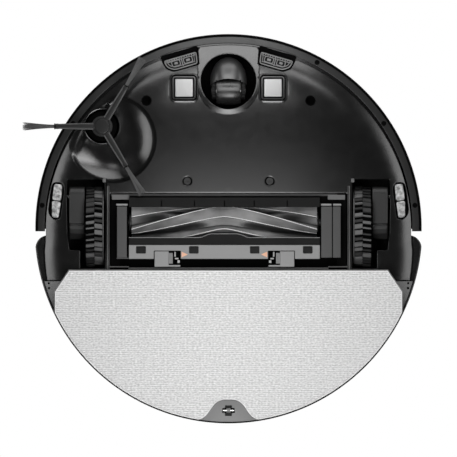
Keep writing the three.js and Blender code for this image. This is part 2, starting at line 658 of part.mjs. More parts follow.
// ---------------------------------------------------------------- top
function turret() {
  const { y, r, z0, headR, headZ, capZ0, top, coverR } = TURRET;
  const base = joined(cylinderZ(r, 0, y, z0, TOP_Z + 0.4), box(-24, 24, y - r - 14, y - r + 8, z0, z0 + 12));
  piece('lidar_base', cut(base, cylinderZ(8.4, 0, y, 68, 90, 32)), BLACK);
  const head = joined(cylinderZ(headR, 0, y, TOP_Z + 1.2, headZ), cylinderZ(8, 0, y, 69, TOP_Z + 2, 32));
  const lensFlat = box(-20, 20, y - headR - 5, y - headR + 4, TOP_Z + 2.5, headZ - 1);
  piece('lidar_head', cut(head, lensFlat), DARK);
  const capProfile = [[0, capZ0], [coverR, capZ0], [coverR, top - 1.2], [coverR - 1.5, top], [0, top]];
  let cover = turned(capProfile, 0, y, 48);
  for (let i = 0; i < 4; i += 1) {
    const post = new THREE.BoxGeometry(3.4, 10, capZ0 + 1 - TOP_Z - 0.7);
    post.translate(coverR - 2.8, 0, (capZ0 + 1 + TOP_Z + 0.7) / 2).rotateZ(Math.PI / 4 + (i * Math.PI) / 2);
    cover = joined(cover, solid(post.translate(0, y, 0)));
  }
  piece('lidar_cover', cover, BLACK);
}

function lid() {
  let plate = extrudeZ(lidOutline(LID.frontY, LID.edgeGap), 77.6, TOP_Z, 32);
  for (const side of [-1, 1]) {
    const lug = box(...span(side, 62, 70), LID.frontY, LID.hingeY + 3, LID.hingeZ - 3, 78);
    const notch = box(...span(side, 71.2, 78.8), LID.frontY - 1, LID.hingeY + 2, 77, TOP_Z + 1);
    plate = joined(cut(plate, notch), lug);
  }
  plate = cut(plate, cylinderX(1.5 + GAP, -90, 90, LID.hingeY, LID.hingeZ, 20));
  piece('lid', plate, BLACK);
  piece('lid_hinge_pin', cylinderX(1.5, -77.5, 77.5, LID.hingeY, LID.hingeZ, 20), STEEL);
}

function buttons() {
  for (const [side, name] of [[-1, 'power_button'], [1, 'home_button']]) {
    piece(name, cylinderZ(BUTTON.r, side * BUTTON.x, BUTTON.y, 76.5, BUTTON.top, 32), WHITE);
  }
}

// ---------------------------------------------------------------- inside
function insides() {
  const { x0, x1, y0, y1, z0, z1, wall } = BIN;
  const bin = cut(
    box(x0, x1, y0, y1, z0, z1),
    box(x0 + wall, x1 - wall, y0 + wall, y1 - wall, z0 + wall, BIG),
    box(-DUCT.x, DUCT.x, 0, y0 + 10, DUCT.z0 + 2, DUCT.z1),
    box(x1 - 5, x1 + 5, y0 + 12, y1 - 12, 38, 62),
  );
  piece('dust_bin', bin, DARK);
  piece('dust_filter', box(x1 + GAP, x1 + 10, y0 + 8, y1 - 8, 34, 66), WHITE);
  const volute = cylinderZ(FAN.r, FAN.x, FAN.y, FAN.z0, FAN.z1);
  const outlet = box(FAN.x, FAN.x + 25, FAN.y, FAN.y + 28, 34, 58);
  piece('suction_fan', joined(volute, outlet), DARK);
  piece('battery_pack', box(-61, 55, -103, -40, 15, 37), GLOSS);
  const board = box(-85, 85, -125, -45, 52, 53.6);
  const processor = box(-30, -10, -100, -80, 53, 56);
  const connector = box(20, 50, -95, -75, 53, 57);
  piece('main_board', joined(board, processor, connector), BOARD);
}

chassisBase();
rearShell();
topCover();
chargeContacts();
cliffWindows();
bumperSwitch(-1, 'bumper_switch_left');
bumperSwitch(1, 'bumper_switch_right');
bumper();
caster();
sideBrush();
brushHousing();
brushGuard();
driveWheel(-1, 'left');
driveWheel(1, 'right');
mopModule();
turret();
lid();
buttons();
insides();

const robotVacuum = new THREE.Group();
robotVacuum.add(body);

export default robotVacuum;
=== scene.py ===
import math
import random

import bmesh
import bpy
import numpy as np
from mathutils import Matrix, Vector
from mathutils.geometry import delaunay_2d_cdt, tessellate_polygon


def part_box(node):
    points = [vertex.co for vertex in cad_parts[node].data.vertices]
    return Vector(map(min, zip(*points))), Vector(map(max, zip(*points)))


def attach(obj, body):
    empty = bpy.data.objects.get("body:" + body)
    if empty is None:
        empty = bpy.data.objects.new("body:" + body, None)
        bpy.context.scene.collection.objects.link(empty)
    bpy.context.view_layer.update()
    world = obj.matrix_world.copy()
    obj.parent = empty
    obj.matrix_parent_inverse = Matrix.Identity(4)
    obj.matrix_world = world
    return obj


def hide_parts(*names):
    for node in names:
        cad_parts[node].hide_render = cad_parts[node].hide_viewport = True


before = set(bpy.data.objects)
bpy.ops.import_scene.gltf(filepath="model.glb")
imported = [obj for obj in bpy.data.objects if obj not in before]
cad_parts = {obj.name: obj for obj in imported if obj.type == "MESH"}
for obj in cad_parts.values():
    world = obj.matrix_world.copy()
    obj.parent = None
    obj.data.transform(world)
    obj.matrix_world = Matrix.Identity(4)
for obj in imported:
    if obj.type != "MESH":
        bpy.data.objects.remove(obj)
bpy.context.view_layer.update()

# Shapes are drawn in millimetres round the body's upright axis, and make() puts them in the frame's metres.
# The front is -Y, the underside faces -Z, and the main camera looks straight up at it.
MM = 0.001
chassis_low, chassis_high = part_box("chassis_base")
AXIS_X = (chassis_low.x + chassis_high.x) / 2
TO_FRAME = Matrix.Translation((AXIS_X, 0, 0)) @ Matrix.Scale(MM, 4)
ALONG_X = Matrix(((0, 0, 1, 0), (1, 0, 0, 0), (0, 1, 0, 0), (0, 0, 0, 1)))  # drawn in (Y, Z), thick along X
MIRROR = Matrix.Diagonal((-1, 1, 1, 1))
TURN = 2 * math.pi

# ------------------------------------------------------------------------------ driving dimensions
CORE_R = 165.0  # the chassis, without the rings round it
BODY_R = 175.0
CASTER = Vector((0, -133.8))
CASTER_TRAIL, CASTER_WHEEL_R = 8.7, 12.5  # how far the wheel lies behind the swivel, and its radius
HUB = Vector((-114.1, -93.2))  # the side brush turns here
DISH = Vector((-104.7, -81.6))  # the middle of the bowl round the side brush
DISH_R = 40.0
CONTACT = Vector((40.1, -128.0))  # the right one of the two charging contacts
GUARD_X = -3.7
GUARD_MOUTH = (-89.8, 82.4)  # both ends of the opening over the main brush
GUARD_POCKETS = ((-83.4, -74.6), (-35.6, -27.0), (19.4, 27.9), (67.2, 75.8))
ROLLER_Y, ROLLER_Z = -6.75, 20.5
WHEEL_Y, WHEEL_R = -2.7, 36.5
LUGS = 40  # in each of a tyre's two columns
TURRET_Y = -30.0
BUTTON_X, BUTTON_Y = 13, -112
OUTLET_SLOTS = 9
PAD_R = 173.4
LATCH_Y = 163.1
TANK_Y = 46.3  # the tank's front face

SIDES = ((-1, "left"), (1, "right"))
BASE = ("base", "body_plastic")


# ------------------------------------------------------------------------------ outlines
def circle(r, x=0.0, y=0.0, count=48):
    return [(x + r * math.cos(TURN * i / count), y + r * math.sin(TURN * i / count)) for i in range(count)]


def arc(r, start, end, count, x=0.0, y=0.0):
    """Points on an arc, both ends included, angles in radians."""
    angles = [start + (end - start) * i / count for i in range(count + 1)]
    return [(x + r * math.cos(a), y + r * math.sin(a)) for a in angles]


def rounded(x0, x1, y0, y1, r, steps=5):
    """A rectangle with rounded corners."""
    corners = [(x1 - r, y1 - r, 0), (x0 + r, y1 - r, 1), (x0 + r, y0 + r, 2), (x1 - r, y0 + r, 3)]
    points = []
    for x, y, quarter in corners:
        points += arc(r, quarter * TURN / 4, (quarter + 1) * TURN / 4, steps, x, y)
    return points


def softened(points, r, steps=5):
    """The same polygon with every corner rounded to about r."""
    out = []
    for i, corner in enumerate(points):
        before, here, after = Vector(points[i - 1]), Vector(corner), Vector(points[(i + 1) % len(points)])
        reach_in = min(r, (before - here).length * 0.45)
        reach_out = min(r, (after - here).length * 0.45)
        a = here + (before - here).normalized() * reach_in
        c = here + (after - here).normalized() * reach_out
        for k in range(steps + 1):
            t = k / steps
            out.append(tuple(a * (1 - t) ** 2 + here * 2 * t * (1 - t) + c * t * t))
    return out


def placed(points, x, y, turn=0.0, side=1):
    """Points turned and moved, then mirrored to the other side where side is -1."""
    cos, sin = math.cos(turn), math.sin(turn)
    moved = [(x + u * cos - v * sin, y + u * sin + v * cos) for u, v in points]
    return [(side * u, v) for u, v in moved]


def wound(loop, anticlockwise=True):
    area = sum(a[0] * b[1] - b[0] * a[1] for a, b in zip(loop, loop[1:] + loop[:1]))
    return list(loop) if (area > 0) == anticlockwise else list(reversed(loop))


def inset(loop, distance):
    """The loop moved to its left by distance, which is inwards where it runs anticlockwise."""
    moved = []
    for i, corner in enumerate(loop):
        here = Vector(corner)
        into = (here - Vector(loop[i - 1])).normalized()
        away = (Vector(loop[(i + 1) % len(loop)]) - here).normalized()
        left_in, left_out = Vector((-into.y, into.x)), Vector((-away.y, away.x))
        moved.append(tuple(here + (left_in + left_out) * distance / max(0.4, 1 + left_in.dot(left_out))))
    return moved


# ------------------------------------------------------------------------------ solids
def bridge(bm, ring_a, ring_b):
    for i in range(len(ring_a)):
        j = (i + 1) % len(ring_a)
        bm.faces.new((ring_a[i], ring_a[j], ring_b[j], ring_b[i]))


def edge_profile(z0, z1, low, high, steps=3):
    """(inset, height) pairs up a plate's side, rounded at the bottom by low and at the top by high."""
    stack = []
    for k in range(steps + 1 if low else 1):
        a = TURN / 4 * k / steps
        stack.append((low * (1 - math.sin(a)), z0 + low * (1 - math.cos(a))))
    for k in range(steps + 1 if high else 1):
        a = TURN / 4 * (1 - k / steps) if high else 0
        stack.append((high * (1 - math.sin(a)) if high else 0, z1 - high * (1 - math.cos(a))))
    return stack


def slab(outer, holes=(), z0=0.0, z1=1.0, low=0.0, high=0.0, profile=None, sharp_outer=False):
    """A plate with holes. Its sides follow profile, or are rounded by low and high."""
    stack = profile or edge_profile(z0, z1, low, high)
    bm = bmesh.new()
    loops = [wound(outer)] + [wound(hole, False) for hole in holes]
    rings = []
    for index, loop in enumerate(loops):
        square = sharp_outer and index == 0
        rows = []
        for shift, z in stack:
            points = loop if square else inset(loop, shift)
            rows.append([bm.verts.new((x, y, z)) for x, y in points])
        for lower, upper in zip(rows, rows[1:]):
            bridge(bm, lower, upper)
        rings.append(rows)
    for level in (0, -1):
        verts = [v for rows in rings for v in rows[level]]
        faces = tessellate_polygon([[v.co for v in rows[level]] for rows in rings])
        for a, b, c in faces:
            if len({a, b, c}) == 3:
                bm.faces.new((verts[a], verts[b], verts[c]))
    bmesh.ops.recalc_face_normals(bm, faces=bm.faces)
    return bm


def lathe(profile, x=0.0, y=0.0, segments=192):
    """(radius, height) pairs turned about an upright axis. A profile off the axis closes on itself."""
    bm = bmesh.new()
    rings = []
    for r, z in profile:
        count = segments if r > 1e-6 else 1
        rings.append([bm.verts.new((x + px, y + py, z)) for px, py in circle(r, count=count)])
    pairs = list(zip(rings, rings[1:]))
    if len(rings[0]) > 1 and len(rings[-1]) > 1:
        pairs.append((rings[-1], rings[0]))
    for a, b in pairs:
        if len(a) > 1 and len(b) > 1:
            bridge(bm, a, b)
        elif len(a) + len(b) > 2:
            tip, rim = (a[0], b) if len(a) == 1 else (b[0], a)
            for i in range(len(rim)):
                bm.faces.new((tip, rim[i], rim[(i + 1) % len(rim)]))
    bmesh.ops.recalc_face_normals(bm, faces=bm.faces)
    return bm


def skin(rings, capped=True):
    """A closed skin over rings of 3-D points that all have the same count."""
    bm = bmesh.new()
    rows = [[bm.verts.new(p) for p in ring] for ring in rings]
    for a, b in zip(rows, rows[1:]):
        bridge(bm, a, b)
    if capped:
        bm.faces.new(rows[0])
        bm.faces.new(rows[-1])
    bmesh.ops.recalc_face_normals(bm, faces=bm.faces)
    return bm


def hoop(loop, section):
    """A closed ring that follows a loop. Its section is given as (inset, height) pairs."""
    bm = bmesh.new()
    rows = [[bm.verts.new((x, y, z)) for x, y in inset(loop, shift)] for shift, z in section]
    for a, b in zip(rows, rows[1:] + rows[:1]):
        bridge(bm, a, b)
    bmesh.ops.recalc_face_normals(bm, faces=bm.faces)
    return bm


def tube(path, radius, sides=8, flat=1.0, capped=True):
    """A round or flattened rod along 3-D points. radius may be one number or one for each point."""
    points = [Vector(p) for p in path]
    rings = []
    for i, here in enumerate(points):
        ahead = (points[min(i + 1, len(points) - 1)] - points[max(i - 1, 0)]).normalized()
        up = Vector((0, 0, 1)) if abs(ahead.z) < 0.9 else Vector((1, 0, 0))
        across = ahead.cross(up).normalized()
        up = across.cross(ahead)
        r = radius[i] if isinstance(radius, (list, tuple)) else radius
        ring = []
        for k in range(sides):
            a = TURN * (k + 0.5) / sides
            ring.append(here + across * r * math.cos(a) + up * r * flat * math.sin(a))
        rings.append(ring)
    return skin(rings, capped)


def moved(bm, matrix):
    bmesh.ops.transform(bm, matrix=matrix, verts=bm.verts)
    if matrix.determinant() < 0:
        bmesh.ops.reverse_faces(bm, faces=bm.faces)
    return bm


def block(x0, x1, y0, y1, z0, z1, bevel=0.4):
    return slab(rounded(x0, x1, y0, y1, max(bevel, 0.05), 2), z0=z0, z1=z1, low=bevel, high=bevel)


def blocks(*sizes):
    return [block(*size) for size in sizes]


def on_axle(profile, y, z, segments):
    """(radius, X) pairs turned about an axle along X."""
    return moved(lathe(profile, y, z, segments), ALONG_X)


def sided(bm, side):
    """The same shape, mirrored where side is -1."""
    return bm if side > 0 else moved(bm, MIRROR)


def both_sides(shapes):
    """The shapes and their mirror images."""
    return [moved(shape.copy(), MIRROR) for shape in shapes] + list(shapes)


def cut_off(bm, point, normal):
    """Cuts away what lies beyond a plane and closes the cut."""
    geometry = bm.verts[:] + bm.edges[:] + bm.faces[:]
    made = bmesh.ops.bisect_plane(bm, geom=geometry, plane_co=point, plane_no=normal, clear_outer=True)
    edges = [e for e in made["geom_cut"] if isinstance(e, bmesh.types.BMEdge)]
    bmesh.ops.holes_fill(bm, edges=edges, sides=0)
    bmesh.ops.recalc_face_normals(bm, faces=bm.faces)
    return bm


def merged(parts):
    """One mesh datablock from several solids, in millimetres."""
    total = bmesh.new()
    for part in parts:
        scratch = bpy.data.meshes.new("scratch")
        part.to_mesh(scratch)
        part.free()
        total.from_mesh(scratch)
        bpy.data.meshes.remove(scratch)
    return total


def settled(bm):
    """The mesh without loose points, its faces turned outwards."""
    bmesh.ops.delete(bm, geom=[v for v in bm.verts if not v.link_faces], context="VERTS")
    bmesh.ops.recalc_face_normals(bm, faces=bm.faces)
    return bm


def add_weighted_normals(piece):
    piece.modifiers.new("weighted_normals", "WEIGHTED_NORMAL").keep_sharp = True


def make(name, parts, material, body, slot, replaces=(), sharp=35.0, weighted=True):
    """Puts solids in the frame as one piece that rides on a body."""
    bm = merged(parts if isinstance(parts, (list, tuple)) else [parts])
    moved(bm, TO_FRAME)
    mesh = bpy.data.meshes.new(name)
    bm.to_mesh(mesh)
    bm.free()
    mesh.polygons.foreach_set("use_smooth", [True] * len(mesh.polygons))
    mesh.set_sharp_from_angle(angle=math.radians(sharp))
    mesh.materials.append(material)
    piece = bpy.data.objects.new(name, mesh)
    bpy.context.scene.collection.objects.link(piece)
    if weighted:
        add_weighted_normals(piece)
    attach(piece, body)
    if replaces:
        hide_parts(*replaces)
    return piece


def carve(piece, cutter_bm):
    """Cuts a solid out of a piece for good."""
    moved(cutter_bm, TO_FRAME)
    bmesh.ops.recalc_face_normals(cutter_bm, faces=cutter_bm.faces)
    mesh = bpy.data.meshes.new("cutter")
    cutter_bm.to_mesh(mesh)
    cutter = bpy.data.objects.new("cutter", mesh)
    bpy.context.scene.collection.objects.link(cutter)
    piece.modifiers.remove(piece.modifiers["weighted_normals"])
    modifier = piece.modifiers.new("cut", "BOOLEAN")
    modifier.object = cutter
    modifier.solver = "EXACT"
    depsgraph = bpy.context.evaluated_depsgraph_get()
    result = bpy.data.meshes.new_from_object(piece.evaluated_get(depsgraph))
    piece.modifiers.remove(modifier)
    piece.data = result
    bpy.data.objects.remove(cutter)
    result.set_sharp_from_angle(angle=math.radians(35))
    add_weighted_normals(piece)


# ------------------------------------------------------------------------------ materials
class Graph:
    """A material's nodes, with short ways to add and join them."""

    def __init__(self, name):
        self.material = bpy.data.materials.new(name)
        self.material.use_nodes = True
        self.tree = self.material.node_tree
        self.shader = self.tree.nodes["Principled BSDF"]
        self.place = self.add("ShaderNodeTexCoord").outputs["Object"]

    def feed(self, socket, value):
        """Joins an output to a socket, or sets the socket to a number or colour."""
        if isinstance(value, bpy.types.NodeSocket):
            self.tree.links.new(value, socket)
        else:
            socket.default_value = value

    def add(self, kind, inputs=(), **settings):
        node = self.tree.nodes.new(kind)
        for key, value in settings.items():
            setattr(node, key, value)
        for key, value in dict(inputs).items():
            self.feed(node.inputs[key], value)
        return node

    def finished(self, inputs):
        """Feeds the shader and gives the material."""
        for key, value in inputs.items():
            self.feed(self.shader.inputs[key], value)
        return self.material

    def axes(self):
        return self.add("ShaderNodeSeparateXYZ", {"Vector": self.place}).outputs

    def noise(self, scale, detail=3.0, stretch=(1, 1, 1)):
        place = self.add("ShaderNodeMapping", {"Vector": self.place, "Scale": stretch}).outputs["Vector"]
        inputs = {"Vector": place, "Scale": scale, "Detail": detail}
        return self.add("ShaderNodeTexNoise", inputs).outputs["Fac"]

    def spread(self, value, low, high, source=(0.3, 0.7)):
        """A pattern that runs over source, mapped to low to high."""
        ends = {"Value": value, "From Min": source[0], "From Max": source[1], "To Min": low, "To Max": high}
        return self.add("ShaderNodeMapRange", ends).outputs["Result"]

    def maths(self, operation, a, b=0.5):
        return self.add("ShaderNodeMath", {0: a, 1: b}, operation=operation).outputs["Value"]

    def colours(self, factor, dark, light):
        node = self.add("ShaderNodeValToRGB", {"Fac": factor})
        for element, colour in zip(node.color_ramp.elements, (dark, light)):
            element.color = (*colour, 1)
        return node.outputs["Color"]

    def shades(self, factor, colour, dark, light):
        """The colour times dark where the factor is 0, and times light where it is 1."""
        return self.colours(factor, scaled(colour, dark), scaled(colour, light))

    def reach_from_axis(self, y, z, low, high):
        """0 to 1 as the distance from an axis along X goes from low to high."""
        axes = self.axes()
        off_y = self.maths("SUBTRACT", axes["Y"], y)
        off_z = self.maths("SUBTRACT", axes["Z"], z)
        squares = self.maths("ADD", self.maths("MULTIPLY", off_y, off_y),
                             self.maths("MULTIPLY", off_z, off_z))
        return self.spread(self.maths("SQRT", squares), 0, 1, (low, high))

    def bump(self, height, strength, distance):
        inputs = {"Strength": strength, "Distance": distance, "Height": height}
        return self.add("ShaderNodeBump", inputs).outputs["Normal"]


def grey(level):
    """The linear colour that shows as this 0 to 255 grey."""
    share = level / 255
    linear = share / 12.92 if share <= 0.04045 else ((share + 0.055) / 1.055) ** 2.4
    return (linear, linear, linear)


def scaled(colour, factor):
    return tuple(min(1.0, c * factor) for c in colour)


def moulded(name, colour, rough, grain=1400, relief=0.05, cloud=0.08, specular=0.5, coat=0.0):
    """Moulded plastic: a fine grain, faint clouds of colour, and roughness that wanders a little."""
    g = Graph(name)
    return g.finished({
        "Base Color": g.shades(g.noise(38, 4), colour, 1 - cloud, 1 + cloud),
        "Roughness": g.spread(g.noise(90, 3), rough - 0.02, rough + 0.02),
        "Normal": g.bump(g.noise(grain, 2), relief, 0.0001),
        "Specular IOR Level": specular,
        "Coat Weight": coat,
        "Coat Roughness": 0.12,
    })


def brushed(name, colour, rough, stretch):
    """Brushed metal: long fine scratches one way."""
    g = Graph(name)
    scratches = g.noise(900, 4, stretch)
    return g.finished({
        "Base Color": g.shades(scratches, colour, 0.88, 1.06),
        "Roughness": g.spread(scratches, rough - 0.08, rough + 0.1),
        "Normal": g.bump(scratches, 0.12, 0.0001),
        "Metallic": 1.0,
    })


def rubber(name, colour, rough, grain=600, relief=0.2, painted_root_shade=None, specular=0.45):
    """Rubber with dusty clouds. painted_root_shade is (y, z, r0, r1): painted shade round an axis along X,
    darker inside r1 and darkest inside r0.
    """
    g = Graph(name)
    dust = g.noise(55, 5)
    dark, light = 0.75, 1.35
    # painted shade: the clouds fade to near black towards the axis, and their range is widened
    if painted_root_shade:
        dust = g.maths("MULTIPLY", dust, g.reach_from_axis(*(size * MM for size in painted_root_shade)))
        dark, light = 0.06, 2.0
    return g.finished({
        "Base Color": g.shades(dust, colour, dark, light),
        "Roughness": g.spread(dust, rough - 0.07, rough + 0.08),
        "Normal": g.bump(g.noise(grain, 4), relief, 0.00015),
        "Specular IOR Level": specular,
    })


def clear_plastic(name, colour):
    """A pale clear moulding over a frosted backing, which shows as cloudy light grey."""
    g = Graph(name)
    frost = g.noise(330, 5)
    return g.finished({
        "Base Color": g.shades(g.spread(frost, 0, 1, (0.36, 0.62)), colour, 0.38, 1.3),
        "Roughness": g.spread(frost, 0.12, 0.3),
        "Normal": g.bump(g.noise(700, 2), 0.25, 0.0002),
        "Coat Weight": 1.0,
        "Coat Roughness": 0.05,
    })


def woven(name, colour):
    """Microfibre mop cloth: fine ribs across, a weaker warp, and fuzzy clouds."""
    g = Graph(name)
    axes = g.axes()
    wander = g.noise(260, 3, (0.25, 1, 1))

    def waves(axis, pitch, waver, strength):
        phase = g.maths("ADD", g.maths("MULTIPLY", axes[axis], TURN / pitch),
                        g.maths("MULTIPLY", wander, waver))
        return g.maths("MULTIPLY", g.spread(g.maths("SINE", phase), 0, 1, (-1, 1)), strength)

    fuzz = g.noise(900, 5, (0.5, 1, 1))
    weave = g.maths("ADD", waves("Y", 0.0019, 5.0, 0.26), waves("X", 0.0013, 7.0, 0.2))
    pile = g.maths("ADD", weave, g.maths("MULTIPLY", fuzz, 1.3))
    return g.finished({
        "Base Color": g.shades(g.spread(pile, 0, 1, (0.6, 1.2)), colour, 0.6, 1.14),
        "Roughness": g.spread(fuzz, 0.85, 1.0),
        "Normal": g.bump(pile, 0.6, 0.0004),
        "Sheen Weight": 0.25,
        "Sheen Roughness": 0.5,
    })


def circuit(name):
    """Green board with pale copper tracks under the lacquer."""
    g = Graph(name)
    kind = {"feature": "DISTANCE_TO_EDGE", "distance": "MANHATTAN"}
    cells = g.add("ShaderNodeTexVoronoi", {"Scale": 160, "Vector": g.place}, **kind)
    tracks = g.maths("LESS_THAN", cells.outputs["Distance"], 0.06)
    return g.finished({
        "Base Color": g.colours(tracks, (0.010, 0.075, 0.030), (0.06, 0.20, 0.07)),
        "Roughness": g.spread(g.noise(200), 0.3, 0.45),
    })


SHELL = moulded("shell_black", grey(18), 0.24, grain=2200, relief=0.006, cloud=0.04, specular=0.8)
BUMPER_SKIN = moulded("bumper_black", grey(32), 0.36, grain=2000, relief=0.02)
# Matte near-black: painted shade on the caster fork's cheeks and the guard's pocket floors, which belong to
# the same mouldings as the lighter hood and bar, and also the colour of the mop latch's lever.
MATTE_BLACK_AND_SHADE = moulded("black_plastic_and_painted_shade", grey(12), 0.55, specular=0.25)
# Near-black and nearly unreflective: painted shade that fills recesses, holes, gaps, the backs of openings
# and the tyre carcass between the lugs, and also the black of the side brush's joints and the tank's side
# dots.
SHADE_BLACK = moulded("painted_shade_black", grey(5), 0.85, relief=0.0, specular=0.05)
DARK = moulded("dark_plastic", grey(46), 0.45)
SMOKED = moulded("smoked_window", grey(22), 0.7, relief=0.01, cloud=0.4, specular=0.12)
MID = moulded("mid_grey_plastic", grey(68), 0.5)
# pale grey on the body plastic: painted highlights along the brush bay's edges
FRAME_HIGHLIGHT_GREY = moulded("frame_painted_highlight", grey(98), 0.5)
GREY = moulded("grey_plastic", grey(140), 0.55, relief=0.08, cloud=0.05)
TAB_GREY = moulded("tab_grey_plastic", grey(134), 0.6, relief=0.08, cloud=0.05)
WHITE = moulded("white_plastic", grey(222), 0.45, cloud=0.03)
COVER = moulded("cover_black", grey(22), 0.5, grain=2600, relief=0.02)
GLOSS = moulded("gloss_black", grey(8), 0.08, relief=0.0, coat=1.0)
LENS = clear_plastic("sensor_lens", grey(188))
# a lighter grey for the front windows' raised lines, part of the same clear lens as the darker plate: painted
# highlights
LENS_RIDGE_HIGHLIGHT = moulded("lens_ridge_highlight", grey(120), 0.45, cloud=0.4, specular=0.3)
TYRE = rubber("tyre_rubber", grey(96), 0.5)
TYRE_WORN = rubber("tyre_rubber_worn", grey(40), 0.6)
HOOD = moulded("caster_hood_plastic", grey(32), 0.38, relief=0.01, specular=1.0)
CASTER_RUBBER = rubber("caster_rubber", grey(20), 0.3, relief=0.02, specular=0.75)
# the fin rubber carries painted shade at the fins' roots, near the roller's core
FIN_RUBBER = rubber("fin_rubber", grey(112), 0.36, grain=300, relief=0.12,
                    painted_root_shade=(ROLLER_Y, ROLLER_Z, 11.3, 13.4))
# near-white rubber: painted highlights along the roller fins' tips and folds
FIN_HIGHLIGHT = rubber("fin_painted_highlight", grey(244), 0.4)
FIN_DARK = rubber("scraper_rubber", grey(14), 0.6, specular=0.2)
BRUSH_ARM = rubber("brush_arm_rubber", grey(34), 0.5, relief=0.1, specular=0.25)
# a lighter copy of the arm rubber: painted highlights along the side brush arms' edges
ARM_HIGHLIGHT = rubber("brush_arm_painted_highlight", grey(84), 0.4, relief=0.1)
BRISTLE = rubber("bristle_nylon", grey(88), 0.4, grain=1500)
CLOTH = woven("mop_cloth", grey(238))
BINDING = rubber("pad_binding", grey(246), 0.9, grain=900, relief=0.3)
CONTACT_METAL = brushed("contact_metal", grey(172), 0.42, (1, 0.05, 1))
STEEL = brushed("polished_steel", grey(214), 0.22, (0.05, 1, 1))
BOARD = circuit("circuit_board")
ARROW = moulded("arrow_paint", (0.80, 0.45, 0.30), 0.6, relief=0.02, cloud=0.04)
LIGHT_CLIP = moulded("clip_white", grey(190), 0.4)


def finish_node(node, material):
    """Gives a carried-over CAD node its material."""
    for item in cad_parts[node].material_slots:
        item.material = material


# ------------------------------------------------------------------------------ chassis underside
RIM_PROFILE = [(0, 11.0), (95, 11.0), (112, 11.05), (120, 11.15), (128, 11.45), (134, 11.85), (140, 12.45),
               (145, 13.15), (149, 13.86), (152, 14.58), (154, 15.16), (156, 15.84), (158, 16.62),
               (160, 17.49), (162, 18.43), (163.5, 19.17), (165, 19.92)]
FLARE = [(-200, 165.0), (4.0, 165.0), (12, 165.6), (19, 167.0), (37, 168.9), (46, 170.0), (60, 173.0),
         (200, 173.0)]
# (distance in from the dish's edge, rise): a steep wall, then a bowl that flattens out
DISH_PROFILE = [(0, 0), (0.3, 0.35), (1, 1.35), (2, 2.75), (3, 3.85), (4, 4.65), (4.5, 5.0), (6, 5.97),
                (7, 6.6), (8, 7.2), (9, 7.78), (10, 8.33), (11, 8.86), (12, 9.37), (13, 9.86), (15, 10.7),
                (17, 11.4), (19, 11.95), (22, 12.5), (26, 12.9), (30, 13.0), (40, 13.0)]
DISH_FLOOR_Z = 24.0
TONGUE_HALF = 27.2
COLLAR_BACK = 2.4
TONGUE_FRONT = 167.0
FILLET = 0.5
# X, Y and turn of the windows on the right
FRONT_WINDOW = (43.75, -156.5, 0.281)
SIDE_WINDOW = (155.3, -26.0, -0.14)
SCREW_HOLES = [(-74, -116.4), (74, -116.4)]
SCREWS = [(-37.2, -43.8), (37.2, -43.8)]


def rim_radius(y):
    """How far the chassis and the tank reach out, which grows behind the drive wheels."""
    return float(np.interp(y, [f[0] for f in FLARE], [f[1] for f in FLARE]))


def edge_radius(x, y):
    """The chassis outline: the rim, and the caster's apron that reaches a little past it."""
    return TONGUE_FRONT if y < 0 and abs(x) < TONGUE_HALF else rim_radius(y)


def dish_rise(x, y):
    """How far the bowl under the side brush is pressed into the underside."""
    inward = DISH_R - math.hypot(x - DISH.x, y - DISH.y)
    return float(np.interp(inward, [s[0] for s in DISH_PROFILE], [s[1] for s in DISH_PROFILE]))


def on_tongue(x, y, grow):
    """Whether a point lies on the raised apron in front of the caster, or on the collar round it."""
    if y < CASTER.y:
        return abs(x) < TONGUE_HALF + grow
    from_caster = math.hypot(x, y - CASTER.y)
    backwards = (y - CASTER.y) / max(from_caster, 1.0)
    return from_caster < TONGUE_HALF + COLLAR_BACK * backwards + grow


def underside_z(x, y):
    """The underside's height: the rim's curve, the bowl pressed into it, and the apron at the caster."""
    r = math.hypot(x, y) * CORE_R / rim_radius(y)
    z = float(np.interp(r, [p[0] for p in RIM_PROFILE], [p[1] for p in RIM_PROFILE]))
    fade = min(1.0, max(0.0, (165.5 - r) / 15))
    z += (DISH_FLOOR_Z - z) * dish_rise(x, y) / DISH_PROFILE[-1][1] * fade * fade * (3 - 2 * fade)
    if not on_tongue(x, y, 0.4):
        return z
    from_caster = math.hypot(x - CASTER.x, y - CASTER.y)
    backwards = max(0.0, (y - CASTER.y) / max(from_caster, 1.0))
    return 9.65 + 1.32 * backwards ** 1.2 * max(0.0, from_caster - 25.4) / 4.2


def wall_top(place):
    """How high the sheet's outer wall goes. It stays under the pressed bumper's lip in front of the apron."""
    under_lip = place.y < 0 and abs(place.x) < TONGUE_HALF + 1.9
    return 19.2 if under_lip else 23.7


def inside_loop(points, loop):
    """For each point, whether it lies inside the loop."""
    result = np.zeros(len(points), bool)
    x, y = points[:, 0], points[:, 1]
    for (x0, y0), (x1, y1) in zip(loop, loop[1:] + loop[:1]):
        crosses = (y0 > y) != (y1 > y)
        with np.errstate(divide="ignore", invalid="ignore"):
            at = (x1 - x0) * (y - y0) / (y1 - y0) + x0
        result ^= crosses & (x < at)
    return result


def near_loop(points, loop, distance):
    result = np.zeros(len(points), bool)
    for a, b in zip(loop, loop[1:] + loop[:1]):
        a, b = np.array(a), np.array(b)
        along = b - a
        t = np.clip(((points - a) @ along) / max(1e-9, along @ along), 0, 1)
        result |= np.linalg.norm(points - (a + t[:, None] * along), axis=1) < distance
    return result


